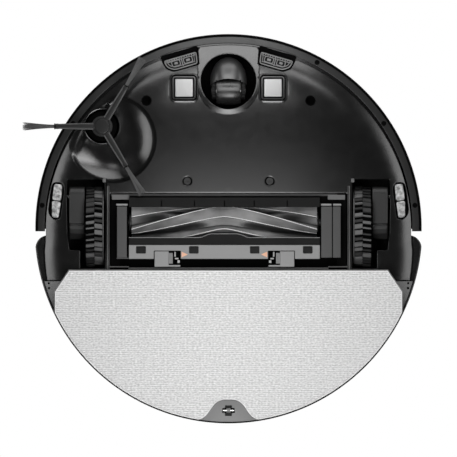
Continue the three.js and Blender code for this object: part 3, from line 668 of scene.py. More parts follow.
def fitted_sheet(loops, samples, height):
    """A sheet inside the first loop and outside the others, through the samples. height gives its Z.

    It gives the mesh and, for each loop, the points along it.
    """
    points, edges, firsts = [], [], []
    for loop in loops:
        first = len(points)
        points += loop
        edges += [(first + i, first + (i + 1) % len(loop)) for i in range(len(loop))]
        firsts.append(first)
    points += [tuple(p) for p in samples]
    verts, _, faces, sources, _, _ = delaunay_2d_cdt([Vector(p) for p in points], edges, [], 0, 1e-4)
    centres = np.array([[sum(verts[i].x for i in f) / 3, sum(verts[i].y for i in f) / 3] for f in faces])
    good = inside_loop(centres, loops[0])
    for hole in loops[1:]:
        good &= ~inside_loop(centres, hole)
    bm = bmesh.new()
    made = [bm.verts.new((v.x, v.y, height(v.x, v.y))) for v in verts]
    for face, ok in zip(faces, good):
        if ok:
            bm.faces.new([made[i] for i in face])
    where = {origin: index for index, source in enumerate(sources) for origin in source}
    borders = [[made[where[first + i]] for i in range(len(loop))] for first, loop in zip(firsts, loops)]
    return bm, borders


def tongue_loop(grow):
    """The outline of that apron and collar."""
    front_y = -math.sqrt((CORE_R - 0.8) ** 2 - (TONGUE_HALF + grow) ** 2)
    sides = [CASTER.y + (front_y - CASTER.y) * k / 12 for k in range(12, 0, -1)]
    points = [(TONGUE_HALF + grow, y) for y in sides]
    for k in range(97):
        a = TURN / 2 * k / 96
        r = TONGUE_HALF + COLLAR_BACK * math.sin(a) + grow
        points.append((r * math.cos(a), CASTER.y + r * math.sin(a)))
    return points + [(-TONGUE_HALF - grow, y) for y in reversed(sides)]


def well_loop(side):
    """The opening over a drive wheel: wide beside the gearbox, narrow behind it."""
    points = [(111.6, -45.4), (145.4, -45.4), (146.0, -30), (145.4, 4), (143.4, 18.6), (134, 18.6), (134, 35),
              (111.6, 35)]
    return [(side * x, y) for x, y in softened(points, 1.0, 3)]


def front_slot(side):
    points = [(-17.4, -4.4), (16.4, -4.4), (16.3, 1.0), (15.2, 7.2), (9.0, 11.8), (-14.6, 11.8), (-16.6, 1.0)]
    return placed(softened(points, 1.6, 4), *FRONT_WINDOW, side)


def side_slot(side, grow=0.0):
    points = [(-2.4 - grow, -16 - grow), (4.9 + grow, -15.2 - grow), (4.9 + grow, 11.5 + grow),
              (0.6, 16 + grow), (-4.9 - grow, 15.6 + grow), (-4.9 - grow, -11.5 - grow)]
    return placed(softened(points, 3.2, 6), *SIDE_WINDOW, side)


def chassis_outline():
    """The outline of the underside, as far back as the tank."""
    count = 576
    outline = []
    for i in range(count):
        a = TURN * i / count
        r = edge_radius(CORE_R * math.cos(a), CORE_R * math.sin(a))
        outline.append((r * math.cos(a), r * math.sin(a)))
    outline = [p for p in outline if p[1] < TANK_Y - 1.0]
    left = sorted((p for p in outline if p[0] <= 0), key=lambda p: -p[1])
    right = sorted((p for p in outline if p[0] > 0), key=lambda p: p[1])
    corner = math.sqrt(rim_radius(TANK_Y) ** 2 - (TANK_Y - 0.5) ** 2)
    back = [(corner - 2 * corner * i / 40, TANK_Y - 0.5) for i in range(41)]
    return left + right + back


def sheet_openings():
    """The loop of each opening in the underside, and the height that its wall goes up to."""
    openings = [
        (rounded(-107.2, 107.2, -33.0, 36.9, 1.2, 3), 45),
        (circle(16.2, *HUB, 64), 23),
        (circle(24.9, *CASTER, 72), 37),
    ]
    half = 11.7
    contact = rounded(CONTACT.x - half, CONTACT.x + half, CONTACT.y - half, CONTACT.y + half, 4, 5)
    for side in (-1, 1):
        openings += [(well_loop(side), 69), (front_slot(side), 18), (side_slot(side, 0.7), 16),
                     (placed(contact, 0, 0, 0, side), 14)]
    return openings + [(circle(4.1, x, y, 28), 17) for x, y in SCREW_HOLES + SCREWS]


def sheet_samples(loops, fillet_loops):
    """Points of the underside's sheet: close together where it curves, and clear of every edge."""
    samples = []
    for r, _ in RIM_PROFILE[4:-1]:
        for i in range(220):
            a = TURN * (i + 0.5 * (r % 2)) / 220
            reach = r * rim_radius(r * math.sin(a)) / CORE_R
            place = Vector((reach * math.cos(a), reach * math.sin(a)))
            if (place - DISH).length > DISH_R + 0.5:
                samples.append(tuple(place))
    samples += tongue_loop(0.0) + tongue_loop(0.8) + circle(26.4, *CASTER, 120) + circle(28.0, *CASTER, 120)
    for inward, _ in DISH_PROFILE[:-1]:
        samples += circle(DISH_R - inward, *DISH, 160)
    step = 5.0
    for i in range(-34, 35):
        for j in range(-34, 12):
            x, y = (i + 0.5 * (j % 2)) * step, j * step * 0.87
            if math.hypot(x, y) < 125 and math.hypot(x - DISH.x, y - DISH.y) > DISH_R + 2:
                samples.append((x, y))
    for loop in loops:
        samples += inset(loop, FILLET + 0.45)
    samples = np.array(samples)
    keep = inside_loop(samples, loops[0]) & ~near_loop(samples, loops[0], FILLET + 0.3)
    for grown in fillet_loops[1:]:
        keep &= ~inside_loop(samples, grown) & ~near_loop(samples, grown, 0.35)
    return samples[keep]


def chassis():
    """The underside as one curved sheet with its openings and their walls."""
    openings = sheet_openings()
    loops = [wound(chassis_outline())] + [wound(loop, False) for loop, _ in openings]
    fillet_loops = [inset(loop, FILLET) for loop in loops]
    bm, borders = fitted_sheet(fillet_loops, sheet_samples(loops, fillet_loops), underside_z)
    tops = [None] + [top for _, top in openings]
    for loop, border, top in zip(loops, borders, tops):
        rows = [border]
        for share in (0.5, 1.0):
            a = TURN / 4 * share
            row = []
            for (x, y), vert in zip(inset(loop, FILLET * (1 - math.sin(a))), border):
                row.append(bm.verts.new((x, y, vert.co.z + FILLET * (1 - math.cos(a)))))
            rows.append(row)
        rows.append([bm.verts.new((v.co.x, v.co.y, top or wall_top(v.co))) for v in rows[-1]])
        for lower, upper in zip(rows, rows[1:]):
            bridge(bm, lower, upper)
    # the front window slots reach past the rim, so their walls stop where the sheet stops
    outside = [v for v in bm.verts
               if v.co.y < -60 and v.co.xy.length > CORE_R + 0.2 and abs(v.co.x) > TONGUE_HALF + 0.1]
    bmesh.ops.delete(bm, geom=outside, context="VERTS")
    settled(bm)
    lowest = min(bm.faces, key=lambda f: f.calc_center_median().z + 0.01 * f.calc_center_median().length)
    if lowest.normal.z > 0:
        bmesh.ops.reverse_faces(bm, faces=bm.faces)
    sheet = make("chassis_underside", bm, SHELL, *BASE, ["chassis_base"], sharp=30, weighted=False)
    thick = sheet.modifiers.new("wall", "SOLIDIFY")
    thick.thickness = 1.2 * MM
    thick.offset = -1
    add_weighted_normals(sheet)


def chassis_walls():
    """What closes the chassis above the sheet: its side, a ledge over the bumper's lip, and two roofs."""
    wall = lathe([(CORE_R - 2.5, 23.2), (CORE_R - 0.3, 23.2), (CORE_R, 23.6), (CORE_R, 43.6),
                  (CORE_R - 0.4, 44), (CORE_R - 2.5, 44)])
    make("chassis_side_wall", wall, SHELL, *BASE)
    flange = lathe([(164.6, 23.2), (170.2, 23.2), (170.2, 24.2), (164.6, 24.2)], segments=256)
    make("chassis_front_flange", cut_off(flange, (0, -62, 0), (0, 1, 0)), SHELL, *BASE)
    ceiling = lathe([(0, 24.0), (CORE_R - 1.5, 24.0), (CORE_R - 1.5, 25.8), (0, 25.8)])
    make("tank_bay_ceiling", cut_off(ceiling, (0, TANK_Y - 1.5, 0), (0, -1, 0)), SHELL, *BASE)
    # a near-black cover at the back of the brush bay: painted shade
    make("bay_back_cover", block(-107, 107, 33.5, 46.5, 45.2, 46.4, 0.2), SHADE_BLACK, *BASE)


def cross(r, half):
    """A cross-head recess outline."""
    points = []
    for k in range(4):
        a = TURN * k / 4
        for u, v in ((r, -half), (r, half), (half, half)):
            points.append((u * math.cos(a) - v * math.sin(a), u * math.sin(a) + v * math.cos(a)))
    return points


def screw_head(x, y, z, r=3.4):
    recess = [(x + u, y + v) for u, v in cross(r * 0.62, r * 0.17)]
    return [slab(circle(r, x, y, 28), [recess], z0=z, z1=z + 1.2, low=0.25),
            slab(circle(r - 0.1, x, y, 28), z0=z + 1.2, z1=z + 4)]


def underside_details():
    heads = []
    for x, y in SCREWS:
        heads += screw_head(x, y, 11.6, 3.2)
    make("underside_screws", heads, DARK, "base", "steel")
    # near-black rings round the screw heads and cups in the screw holes: painted shade
    wells = [slab(circle(4.7, x, y, 32), z0=13.2, z1=14.2) for x, y in SCREWS]
    cup = [(0, 16), (3.7, 16), (3.7, 11.25), (4.35, 11.25), (4.6, 11.6), (4.6, 17), (0, 17)]
    make("screw_wells", wells + [lathe(cup, x, y, 40) for x, y in SCREW_HOLES], SHADE_BLACK, *BASE)
    collar = [(15.2, 14.2), (15.5, 13.6), (16.1, 13.4), (16.7, 13.9), (16.9, 15.5), (16.9, 25), (15.2, 25)]
    make("side_brush_collar", lathe(collar, *HUB, 96), SHELL, *BASE)
    # the gearbox in the collar's hole is near-black: painted shade
    motor = [(0, 16), (12, 16), (13.6, 16.8), (14, 18), (14, 23), (13, 23.5), (13, 48), (0, 48)]
    make("side_brush_gearbox", lathe(motor, *HUB, 64), SHADE_BLACK, "base", "dark_plastic", ["side_brush_motor"])


def contacts():
    for side, word in SIDES:
        x, y = side * CONTACT.x, CONTACT.y
        edge = rounded(x - 13.3, x + 13.3, y - 13.3, y + 13.3, 5.4, 10)
        lip = hoop(edge, [(0, 11.4), (0, 10.8), (0.1, 10.68), (1.35, 10.25), (1.5, 10.35), (1.6, 11.4)])
        make(f"contact_bezel_{word}", lip, SHELL, *BASE)
        # a near-black plate behind each contact: painted shade
        make(f"contact_well_{word}", slab(inset(edge, 1.0), z0=12.6, z1=13.6), SHADE_BLACK, *BASE)
        seat = [(0, 12.8), (0, 10.9), (0.35, 10.5), (1.2, 10.5), (1.6, 10.9), (1.6, 12.8)]
        make(f"contact_seat_{word}", hoop(inset(edge, 2.6), seat), SHELL, *BASE)
        pad = slab(rounded(x - 8.1, x + 8.1, y - 8.1, y + 8.1, 1.0, 5), z0=10.3, z1=13.5, low=0.7)
        make(f"contact_pad_{word}", pad, CONTACT_METAL, "base", "contact_metal", [f"charge_contact_{word}"])


def front_window(side, word):
    """A dark plate with raised lines: two edges, two eyes with pupils, a divider and a row of teeth. The
    raised lines are painted a lighter grey as highlights.
    """
    def at(points):
        return placed(points, *FRONT_WINDOW, side)

    def ridge(points, z0, low, hollow=()):
        return slab(at(points), [at(loop) for loop in hollow], z0=z0, z1=13.8, low=low)

    outline = softened([(-15.3, 0), (15.3, 0), (14.9, 4.2), (13.4, 7.4), (8.2, 10.8), (-13.6, 10.8)], 2.2, 5)
    first, second = inset(wound(outline), 1.0), inset(wound(outline), 2.3)
    ridges = [ridge(outline, 12.3, 0.35, [first]), ridge(second, 12.6, 0.25, [inset(second, 0.7)])]
    for low, high in ((-10.4, -1.6), (1.0, 9.4)):
        hollow = rounded(low + 0.8, high - 0.8, 3.0, 7.2, 1.0, 4)
        ridges.append(ridge(rounded(low, high, 2.2, 8.0, 1.6, 4), 12.4, 0.3, [hollow]))
        ridges.append(ridge(rounded(low + 2.6, high - 2.6, 4.0, 6.2, 0.6, 3), 12.7, 0.4))
    ridges.append(ridge(rounded(-0.9, 0.0, 1.4, 9.2, 0.3, 3), 12.2, 0.3))
    for i in range(12):
        x = -12.6 + 2.3 * i
        ridges.append(ridge(rounded(x - 0.55, x + 0.55, 0.9, 1.9, 0.3, 2), 12.1, 0.3))
    plate = slab(at(outline), z0=13.4, z1=15, low=0.3)
    make(f"front_cliff_window_{word}", plate, SMOKED, "base", "clear_lens", [f"cliff_window_front_{word}"])
    # the raised lines in a lighter grey: painted highlights
    make(f"front_cliff_ridges_{word}", ridges, LENS_RIDGE_HIGHLIGHT, "base", "clear_lens")
    # a near-black plate behind the window: painted shade
    make(f"front_cliff_backing_{word}", slab(inset(wound(front_slot(side)), -0.5), z0=16.8, z1=17.8), SHADE_BLACK,
         *BASE)


def side_window(side, word):
    """A cloudy lens in two halves, each with a raised eye."""
    halves = []
    for y0, y1 in ((-15.2, -0.35), (0.35, 15.2)):
        in_front = y0 < 0
        corners = [(-3.2 if in_front else -4.1, y0), (4.1, y0), (4.1 if in_front else 2.0, y1), (-4.1, y1)]
        halves.append(slab(placed(softened(corners, 2.2, 5), *SIDE_WINDOW, side),
                           profile=[(1.5, 14.1), (0.7, 14.2), (0.2, 14.6), (0.0, 15.2), (0.0, 17)]))
        eye = rounded(-2.2, 2.4, y0 + 3.0, y1 - 3.0, 1.4, 4)
        halves.append(slab(placed(eye, *SIDE_WINDOW, side), z0=13.8, z1=15, low=0.4))
    make(f"side_cliff_window_{word}", halves, LENS, "base", "clear_lens", [f"cliff_window_side_{word}"])
    # a near-black plate behind the window: painted shade
    make(f"side_cliff_backing_{word}", slab(side_slot(side, 1.0), z0=16, z1=17), SHADE_BLACK, *BASE)


def cliff_windows():
    for side, word in SIDES:
        front_window(side, word)
        side_window(side, word)


# ------------------------------------------------------------------------------ bumper and rear shell
LIP_HOLES = [(80.0, -151), (140.2, -95.9), (168.3, -22)]


def bumper():
    centre_y, r = -2.2, 174.5
    profile = [(166.1, 20.3), (166.6, 20.0), (171.8, 20.0), (172.1, 20.3), (172.1, 24.7), (r - 0.3, 24.7),
               (r, 25.0), (r, 41.7), (r - 0.3, 42.0), (r - 1.3, 42.0), (r - 1.3, 58.0), (r - 0.3, 58.0),
               (r, 58.3), (r, 73.0), (r - 0.7, 75.2), (r - 2.2, 76.7), (r - 3.6, 77.0), (166.8, 77.0),
               (166.5, 76.7), (166.5, 74.7), (r - 3, 73.5), (r - 3, 22.6), (166.1, 22.5)]
    # a near-black ring over the bumper's rounded lower outer edge, the same plastic as the ring: painted
    # shade in place of its highlights
    edge_shade = [(172.2, 20.2), (172.6, 20.05), (173.3, 20.3), (174.0, 21.1), (174.4, 22.6), (174.5, 24.0),
            (174.3, 24.6), (172.2, 24.6)]

    def front_half(section, y, end):
        return cut_off(lathe(section, 0, y, 256), (0, end, 0), (0, 1, 0))

    make("bumper_ring", front_half(profile, centre_y, 1.5), BUMPER_SKIN, "bumper", "dark_plastic", ["bumper"])
    make("bumper_edge_painted_shade", front_half(edge_shade, centre_y, 1.5), SHADE_BLACK, "bumper", "dark_plastic")
    # a near-black ring up in the gap between chassis and bumper: painted shade
    gap_fill = front_half([(164.6, 39.4), (169.4, 39.4), (169.4, 40.6), (164.6, 40.6)], 0, -0.6)
    make("bumper_gap_shade_fill", gap_fill, SHADE_BLACK, *BASE)
    window = lathe([(r - 1.0, 42.4), (r - 0.25, 42.4), (r, 42.7), (r, 57.3), (r - 0.25, 57.6),
                    (r - 1.0, 57.6)], 0, centre_y, 256)
    half_angle = 0.658
    for side in (-1, 1):
        normal = (side * math.cos(half_angle), math.sin(half_angle), 0)
        window = cut_off(window, (0, centre_y, 0), normal)
    make("bumper_sensor_window", window, GLOSS, "bumper", "gloss_black", ["bumper_window"])
    # near-black discs on the lip at its holes: painted shade
    plug = [(0, 19.93), (2.0, 19.93), (2.3, 20.0), (2.3, 21), (0, 21)]
    make("bumper_lip_hole_shades", both_sides([lathe(plug, x, y, 24) for x, y in LIP_HOLES]), SHADE_BLACK, "bumper",
         "dark_plastic")
    clips = both_sides(blocks((166.6, 170.6, -2.4, 0.9, 20.6, 25, 0.5),
                              (167.2, 172.4, -0.6, 1.2, 23, 30, 0.4)))
    make("bumper_end_clips", clips, LIGHT_CLIP, "bumper", "grey_plastic")


def rear_shell():
    inner_r = CORE_R + 0.6
    inner, outer = math.asin(5.4 / inner_r), math.asin(15.2 / BODY_R)
    start, end = Vector((-math.cos(inner) * inner_r, 5.4)), Vector((-math.cos(outer) * BODY_R, 15.2))
    control = Vector((-172.9, 7.2))
    shoulder = [tuple(start * (1 - t) ** 2 + control * 2 * t * (1 - t) + end * t * t)
                for t in (k / 12 for k in range(1, 12))]
    shape = arc(inner_r, inner, math.pi - inner, 160) + shoulder + arc(BODY_R, math.pi - outer, outer, 180)
    shape += [(-x, y) for x, y in reversed(shoulder)]
    shell = slab(shape, profile=edge_profile(24, 78, 1.5, 2.5, 4))
    piece = make("rear_shell_ring", shell, SHELL, *BASE, ["rear_shell"])
    slots = []
    for i in range(OUTLET_SLOTS):
        slot = slab(rounded(-1.3, 1.3, -11, 11, 1.25, 4), z0=CORE_R + 2.1, z1=180)
        upright = Matrix.Rotation(TURN / 4, 4, "X")
        turn = Matrix.Rotation(math.pi + (i - (OUTLET_SLOTS - 1) / 2) * 0.045, 4, "Z")
        slots.append(moved(slot, Matrix.Translation((0, 0, 52)) @ turn @ upright))
    carve(piece, merged(slots))


# ------------------------------------------------------------------------------ caster
def caster_fork(x, y):
    """A round hood over the wheel, open behind an arch, with a cheek on each side and a crown above."""
    wheel_y, wheel_z = y + CASTER_TRAIL, CASTER_WHEEL_R
    hood = bmesh.new()
    bmesh.ops.create_uvsphere(hood, u_segments=96, v_segments=64, radius=1.0)
    squareness = 2.35
    for vert in hood.verts:
        a, b, c = vert.co
        around = math.atan2(abs(a), abs(c))
        fuller = (math.sin(around) ** squareness + math.cos(around) ** squareness) ** (-1 / squareness)
        vert.co = (16.5 * a * fuller, y + 22.0 * b, 16 + 14.4 * c * fuller)
    cut_off(hood, (0, y + 4.4, 3), (0, 1, 0))
    cut_off(hood, (0, 0, 28), (0, 0, 1))
    piece = make("caster_hood", hood, HOOD, "caster_fork", "dark_plastic", ["caster_fork"])
    carve(piece, slab(circle(27.0, 0, y + 24.6, 160), z0=-5, z1=40))
    carve(piece, moved(slab(circle(CASTER_WHEEL_R + 0.4, wheel_y, wheel_z, 96), z0=-11.4, z1=11.4), ALONG_X))

    crown = [(0, 26.0), (16.0, 26.0), (16.4, 26.4), (16.4, 29.6), (16.0, 30), (4, 30), (4, 43.6),
             (3.6, 44), (0, 44)]
    flat = [(y - 3, 12), (y + 2, 9.5), (y + 12.6, 9.0), (y + 16.2, 12), (y + 16.2, 28), (y - 3, 28)]
    cheek = [moved(slab(softened(flat, 2.2, 5), z0=11.3, z1=15.0, low=0.3, high=0.9), ALONG_X),
             on_axle([(0, 14.2), (3.4, 14.2), (3.4, 15.3), (3.0, 15.7), (0, 15.7)], wheel_y, wheel_z, 32)]
    for rib_y in (wheel_y - 4.6, wheel_y, wheel_y + 4.6):
        cheek.append(block(11.5, 14.4, rib_y - 0.6, rib_y + 0.6, 6.8, 10.2, 0.25))
    # the cheeks and crown in matte near-black, darker than the hood of the same fork: painted shade
    make("caster_cheeks", [lathe(crown, x, y, 96)] + both_sides(cheek), MATTE_BLACK_AND_SHADE, "caster_fork", "dark_plastic")


def caster():
    x, y = CASTER
    cup = [(24.9, 11.2), (26.6, 11.4), (27.2, 12), (27.2, 38), (4.6, 38), (4.6, 35), (24.4, 35), (24.7, 30),
           (24.9, 20)]
    # the socket's inside is near-black: painted shade
    make("caster_cup", lathe(cup, x, y, 96), SHADE_BLACK, *BASE, ["caster_socket"])
    caster_fork(x, y)

    r = CASTER_WHEEL_R
    edge = [(r - 1.6, 10.1), (r - 1.4, 10.3), (r - 1.5, 10.8), (r - 1.9, 11), (1.7, 11)]
    crown = [(r - 0.9 * (across / 10) ** 2 - 0.02, across) for across in range(-10, 11)]
    barrel = [(out, -across) for out, across in reversed(edge)] + crown + edge
    make("caster_roller", on_axle(barrel, y + CASTER_TRAIL, r, 128), CASTER_RUBBER, "caster_wheel",
         "tyre_rubber", ["caster_wheel"])
    pin = [(0, -12.6), (1.3, -12.6), (1.5, -12.3), (1.5, 12.3), (1.3, 12.6), (0, 12.6)]
    make("caster_pin", on_axle(pin, y + CASTER_TRAIL, r, 32), STEEL, "caster_fork", "steel", ["caster_axle"])


# ------------------------------------------------------------------------------ side brush
def bristle_tuft(rng):
    """Fine strands that spread out beyond the arm's end."""
    strands = []
    for _ in range(84):
        side_way = rng.uniform(-1, 1)
        high_way = rng.uniform(-1, 1)
        length = 28.5 + rng.uniform(-1.6, 1.0)
        bend = rng.uniform(-0.5, 0.5)
        strand = []
        for k in range(6):
            t = k / 5
            spread = 1.35 + 2.1 * t ** 1.4
            strand.append((42.3 + length * t, side_way * spread + bend * t * t,
                           6.1 - 4.2 * t + high_way * (0.75 - 0.15 * t)))
        strands.append(tube(strand, [0.2, 0.2, 0.19, 0.18, 0.17, 0.12], 4))
    return strands


def side_brush():
    rng = random.Random(7)
    hub = [(0, 8.5), (5.9, 8.5), (6.5, 8.75), (6.8, 9.3), (6.9, 9.9), (8.4, 10.0), (9.2, 10.4), (9.6, 11.2),
           (9.6, 15.2), (9.2, 15.6), (0, 15.6)]
    spider, rails, joints, tufts = [lathe(hub, *HUB, 72)], [], [], []
    path, widths = [], []
    for k in range(15):
        t = k / 14
        path.append((5.5 + 37 * t, 0, 10.9 - 4.7 * t))
        widths.append(3.0 - 0.9 * t + 0.25 * math.sin(math.pi * t))
    collar = [(38.6 + 0.7 * k, 0, 6.55 - 0.08 * k) for k in range(7)]
    for i, unevenness in enumerate((0.0, 0.015, -0.015)):
        angle = math.pi + i * TURN / 3 + unevenness
        turn = Matrix.Translation((*HUB, 0)) @ Matrix.Rotation(angle, 4, "Z")
        spider.append(moved(tube(path, widths, 14, 0.5), turn))
        spider.append(moved(tube(collar, [2.2, 2.5, 2.55, 2.55, 2.5, 2.3, 1.9], 14, 0.72), turn))
        # a lighter rod along each edge of the arm: painted highlight
        for side in (-1, 1):
            rail = [(x, side * (w - 0.55), z - 0.9) for (x, _, z), w in zip(path[1:], widths[1:])]
            rails.append(moved(tube(rail, 0.62, 8), turn))
        joints.append(moved(tube([(42.2, 0, 6.1), (43.0, 0, 6.0)], 2.75, 14, 0.72), turn))
        tufts.append([moved(strand, turn) for strand in bristle_tuft(rng)])
    make("side_brush_spider", spider, BRUSH_ARM, "side_brush", "soft_rubber", ["side_brush_hub"])
    cap = [(0, 8.3), (5.8, 8.3), (6.4, 8.5), (6.7, 9.0), (6.7, 9.6), (0, 9.6)]
    make("side_brush_cap", lathe(cap, *HUB, 72), BUMPER_SKIN, "side_brush", "soft_rubber")
    make("side_brush_highlight_rails", rails, ARM_HIGHLIGHT, "side_brush", "soft_rubber")
    make("side_brush_joints", joints, SHADE_BLACK, "side_brush", "soft_rubber")
    for i, strands in enumerate(tufts, 1):
        make(f"bristles_{i}", strands, BRISTLE, "side_brush", "bristle", [f"bristle_tuft_{i}"],
             weighted=False)


# ------------------------------------------------------------------------------ main brush, its bay and guard
def roller():
    """Soft fins that sweep to a point at the middle of the roller."""
    fins = 5
    x0, x1 = -87.4, 79.8
    steps = 100
    middle_x = (x0 + x1) / 2
    blade = [(-7, 10.8), (-3.2, 12.4), (-2.6, 14.6), (-2.6, 16.6), (-1.6, 17.9), (1.0, 18.0), (3.2, 17.3),
             (9, 16.2), (17, 14.9), (26, 13.5), (30, 13.2), (32, 12.2), (44, 11.4), (56, 10.8)]
    rings, tips, folds = [], [[] for _ in range(fins)], [[] for _ in range(fins)]
    for k in range(steps + 1):
        x = x0 + (x1 - x0) * k / steps
        away = abs(x - middle_x) / (x1 - middle_x)
        twist = 1.38 * (math.sqrt(away * away + 0.006) - math.sqrt(0.006))
        ring = []
        for i in range(fins):
            start = math.radians(-52) + twist + i * TURN / fins

            def at(angle, r):
                return (x, ROLLER_Y + r * math.sin(start + angle), ROLLER_Z - r * math.cos(start + angle))

            ring += [at(math.radians(degrees), r) for degrees, r in blade]
            tips[i].append(at(-0.008, 17.65))
            folds[i].append(at(math.radians(30), 13.2))
        rings.append(ring)
    make("roller_fins", skin(rings), FIN_RUBBER, "main_brush", "soft_rubber", ["brush_fins"], sharp=24,
         weighted=False)
    # thin near-white strips on each fin's tip and fold: painted highlights
    edges = [tube(tip, 0.42, 6) for tip in tips] + [tube(fold, 0.3, 6) for fold in folds]
    make("roller_fin_painted_highlights", edges, FIN_HIGHLIGHT, "main_brush", "soft_rubber")
    core = [(0, -97), (2.8, -97), (3, -96.6), (3, -89.5), (8.6, -89.5), (9, -88.8), (9, 80.8), (8.6, 81.2),
            (3, 81.2), (3, 93.8), (2.8, 94.1), (0, 94.1)]
    make("roller_core", on_axle(core, ROLLER_Y, ROLLER_Z, 48), DARK, "main_brush", "dark_plastic",
         ["brush_roller"])


def bay():
    """What frames the brush: the ledge in front, pale lines painted along the bay's edges as highlights, and
    the end bearings.
    """
    # the brush housing and its bearings are near-black: painted shade in the bay
    for node in ("brush_housing", "brush_bearing_left", "brush_bearing_right"):
        finish_node(node, SHADE_BLACK)
    finish_node("brush_motor", DARK)
    make("bay_front_ledge", block(-106, 98, -32.4, -30.2, 10.6, 12, 0.3), DARK, *BASE)
    # thin pale strips round the bay: painted highlights on its edges
    bars = blocks((108.6, 109.5, -39.6, 36.2, 10.2, 12, 0.3), (89.5, 105.2, -31.4, -27.0, 10.4, 12.4, 0.4),
                  (90, 107.3, 33.0, 34.0, 10.3, 12, 0.25), (110.6, 113.6, -46.2, -42.6, 10.0, 12, 0.5))
    make("bay_frame_painted_highlights", both_sides(bars) + blocks((-90.2, 90.2, 34.2, 35.4, 10.2, 12, 0.3)), FRAME_HIGHLIGHT_GREY, *BASE)
    make("bay_side_strips", both_sides(blocks((107.3, 108.5, -39.6, 36.2, 10.4, 12, 0.2))), DARK, *BASE)


def guard():
    """The guard over the brush. The numbers run from the body's axis."""
    def part(name, shape, material, slot="grey_plastic", replaces=()):
        make(f"guard_{name}", shape, material, "brush_guard", slot, replaces)

    x0, x1 = GUARD_MOUTH
    ticks = [rounded(x - 0.35, x + 0.35, -26.2, -20.9, 0.3, 2) for x in (-60.4, -30.7, -3.6, 23.2, 53)]
    scraper = slab(rounded(x0, x1, -29.0, -20.3, 0.6, 3), ticks, z0=5.6, z1=8.0, low=0.35)
    part("scraper", scraper, FIN_DARK, "soft_rubber")
    part("scraper_back", block(x0, x1, -28.8, -20.8, 8.0, 8.8, 0.1), SHADE_BLACK, "soft_rubber")
    ends = blocks((-100.6, -91.7, -20.9, 25.3, 5.2, 8.2, 0.5), (-100.9, x0 - 0.1, 25.3, 26.4, 5.4, 8.2, 0.3),
                  (83.6, 93.4, -20.9, 25.3, 5.2, 8.2, 0.5), (94.1, 101.2, -20.9, 25.3, 5.2, 8.2, 0.5))
    part("end_plates", ends, MID)
    pegs = [block(low, high, -23.4, -21.6, 5.0, 7.4, 0.4)
            for low, high in ((-101.3, -91.0), (83.4, 92.9), (94.3, 101.6))]
    part("end_pegs", pegs, GREY)

    lip_edge = []
    for k in range(61):
        x = x0 + (x1 - x0) * k / 60
        bump = max(0.0, 1 - ((x - GUARD_X) / 21) ** 2)
        lip_edge.append((x, 6.9 - 3.4 * min(1.0, bump * 1.6)))
    part("lip", slab(lip_edge + [(x1, 13.4), (x0, 13.4)], z0=4.8, z1=5.4, low=0.2), FIN_DARK)
    part("lip_bead", tube([(x, y + 0.25, 4.85) for x, y in lip_edge], 0.3, 8), GREY)

    latch_bays = []
    for side in (1, -1):
        for a, y in ((63.6, 26.4), (63.6, 19.0), (39.3, 19.0), (39.3, 26.4))[::side]:
            latch_bays.append((GUARD_X + side * a, y))
    outline = [(x0, 13.8), (x1, 13.8), (x1, 26.4)] + latch_bays + [(x0, 26.4)]
    pockets = [rounded(low, high, 14.9, 21.5, 0.9, 4) for low, high in GUARD_POCKETS]
    bar = slab(softened(outline, 0.6, 3), pockets, z0=5.0, z1=7.9, low=0.45)
    part("bar", bar, GREY, replaces=["brush_guard"])
    # the pocket floors in matte near-black, darker than the bar they belong to: painted shade
    floors = [slab(rounded(low - 0.3, high + 0.3, 14.6, 21.8, 0.9, 4), z0=6.7, z1=7.5)
              for low, high in GUARD_POCKETS]
    part("pocket_floors", floors, MATTE_BLACK_AND_SHADE)
    arrows = []
    for side in (-1, 1):
        tip, tail = GUARD_X + side * 33.0, GUARD_X + side * 38.6
        arrows.append(slab(softened([(tip, 22.4), (tail, 19.8), (tail, 25.0)], 0.4, 3), z0=4.9, z1=5.2,
                           low=0.05))
    part("arrows", arrows, ARROW)


def guard_latches():
    """A slider with finger ridges on each side, and the small hooks beside it."""
    sliders = [(50.2, 63.0, 19.5, 33.5, 5.1, 8.4, 0.45), (46.6, 50.4, 21.0, 30.6, 5.8, 8.2, 0.2),
               (39.8, 50.4, 31.9, 33.4, 5.6, 7.6, 0.3)]
    sliders += [(49.3 - 1.1 * k, 50.0 - 1.1 * k, 21.4, 30.2, 4.7, 8.0, 0.25) for k in range(3)]
    hooks = [(43.8, 45.2, 20.0, 24.4, 8.5, 9.6, 0.3), (41.4, 44.6, 25.4, 26.8, 8.5, 9.6, 0.3),
             (40.2, 42.4, 27.6, 30.0, 8.5, 9.6, 0.3)]

    for side, word in SIDES:
        def placed_blocks(sizes):
            return [block(*sorted((GUARD_X + side * a, GUARD_X + side * b)), *rest) for a, b, *rest in sizes]

        make(f"latch_slider_{word}", placed_blocks(sliders), GREY, f"guard_latch_{word}", "grey_plastic",
             [f"guard_latch_{word}"])
        make(f"latch_hooks_{word}", placed_blocks(hooks), LIGHT_CLIP, "brush_guard", "grey_plastic")


# ------------------------------------------------------------------------------ drive wheels
def tread_lug(x0, x1, half, lean, height):
    """One rubber lug, drawn under the wheel's axis at the bottom and wider at its root."""
    root, top = -(WHEEL_R - 2.6), -(WHEEL_R - 1.6 + height)
    rings = []
    for x, shrink in ((x0, 0.75), (x0 + 0.4, 1.0), ((x0 + x1) / 2, 1.0), (x1 - 0.4, 1.0), (x1, 0.75)):
        shift = lean * (x - (x0 + x1) / 2) / (x1 - x0)
        w = half * shrink
        face = top + 0.35 * (1 - shrink) / 0.25
        section = [(-1.15, root), (-1, face + 0.35), (-0.8, face), (0.8, face), (1, face + 0.35),
                   (1.15, root)]
        rings.append([(x, shift + w * across, z) for across, z in section])
    return skin(rings)


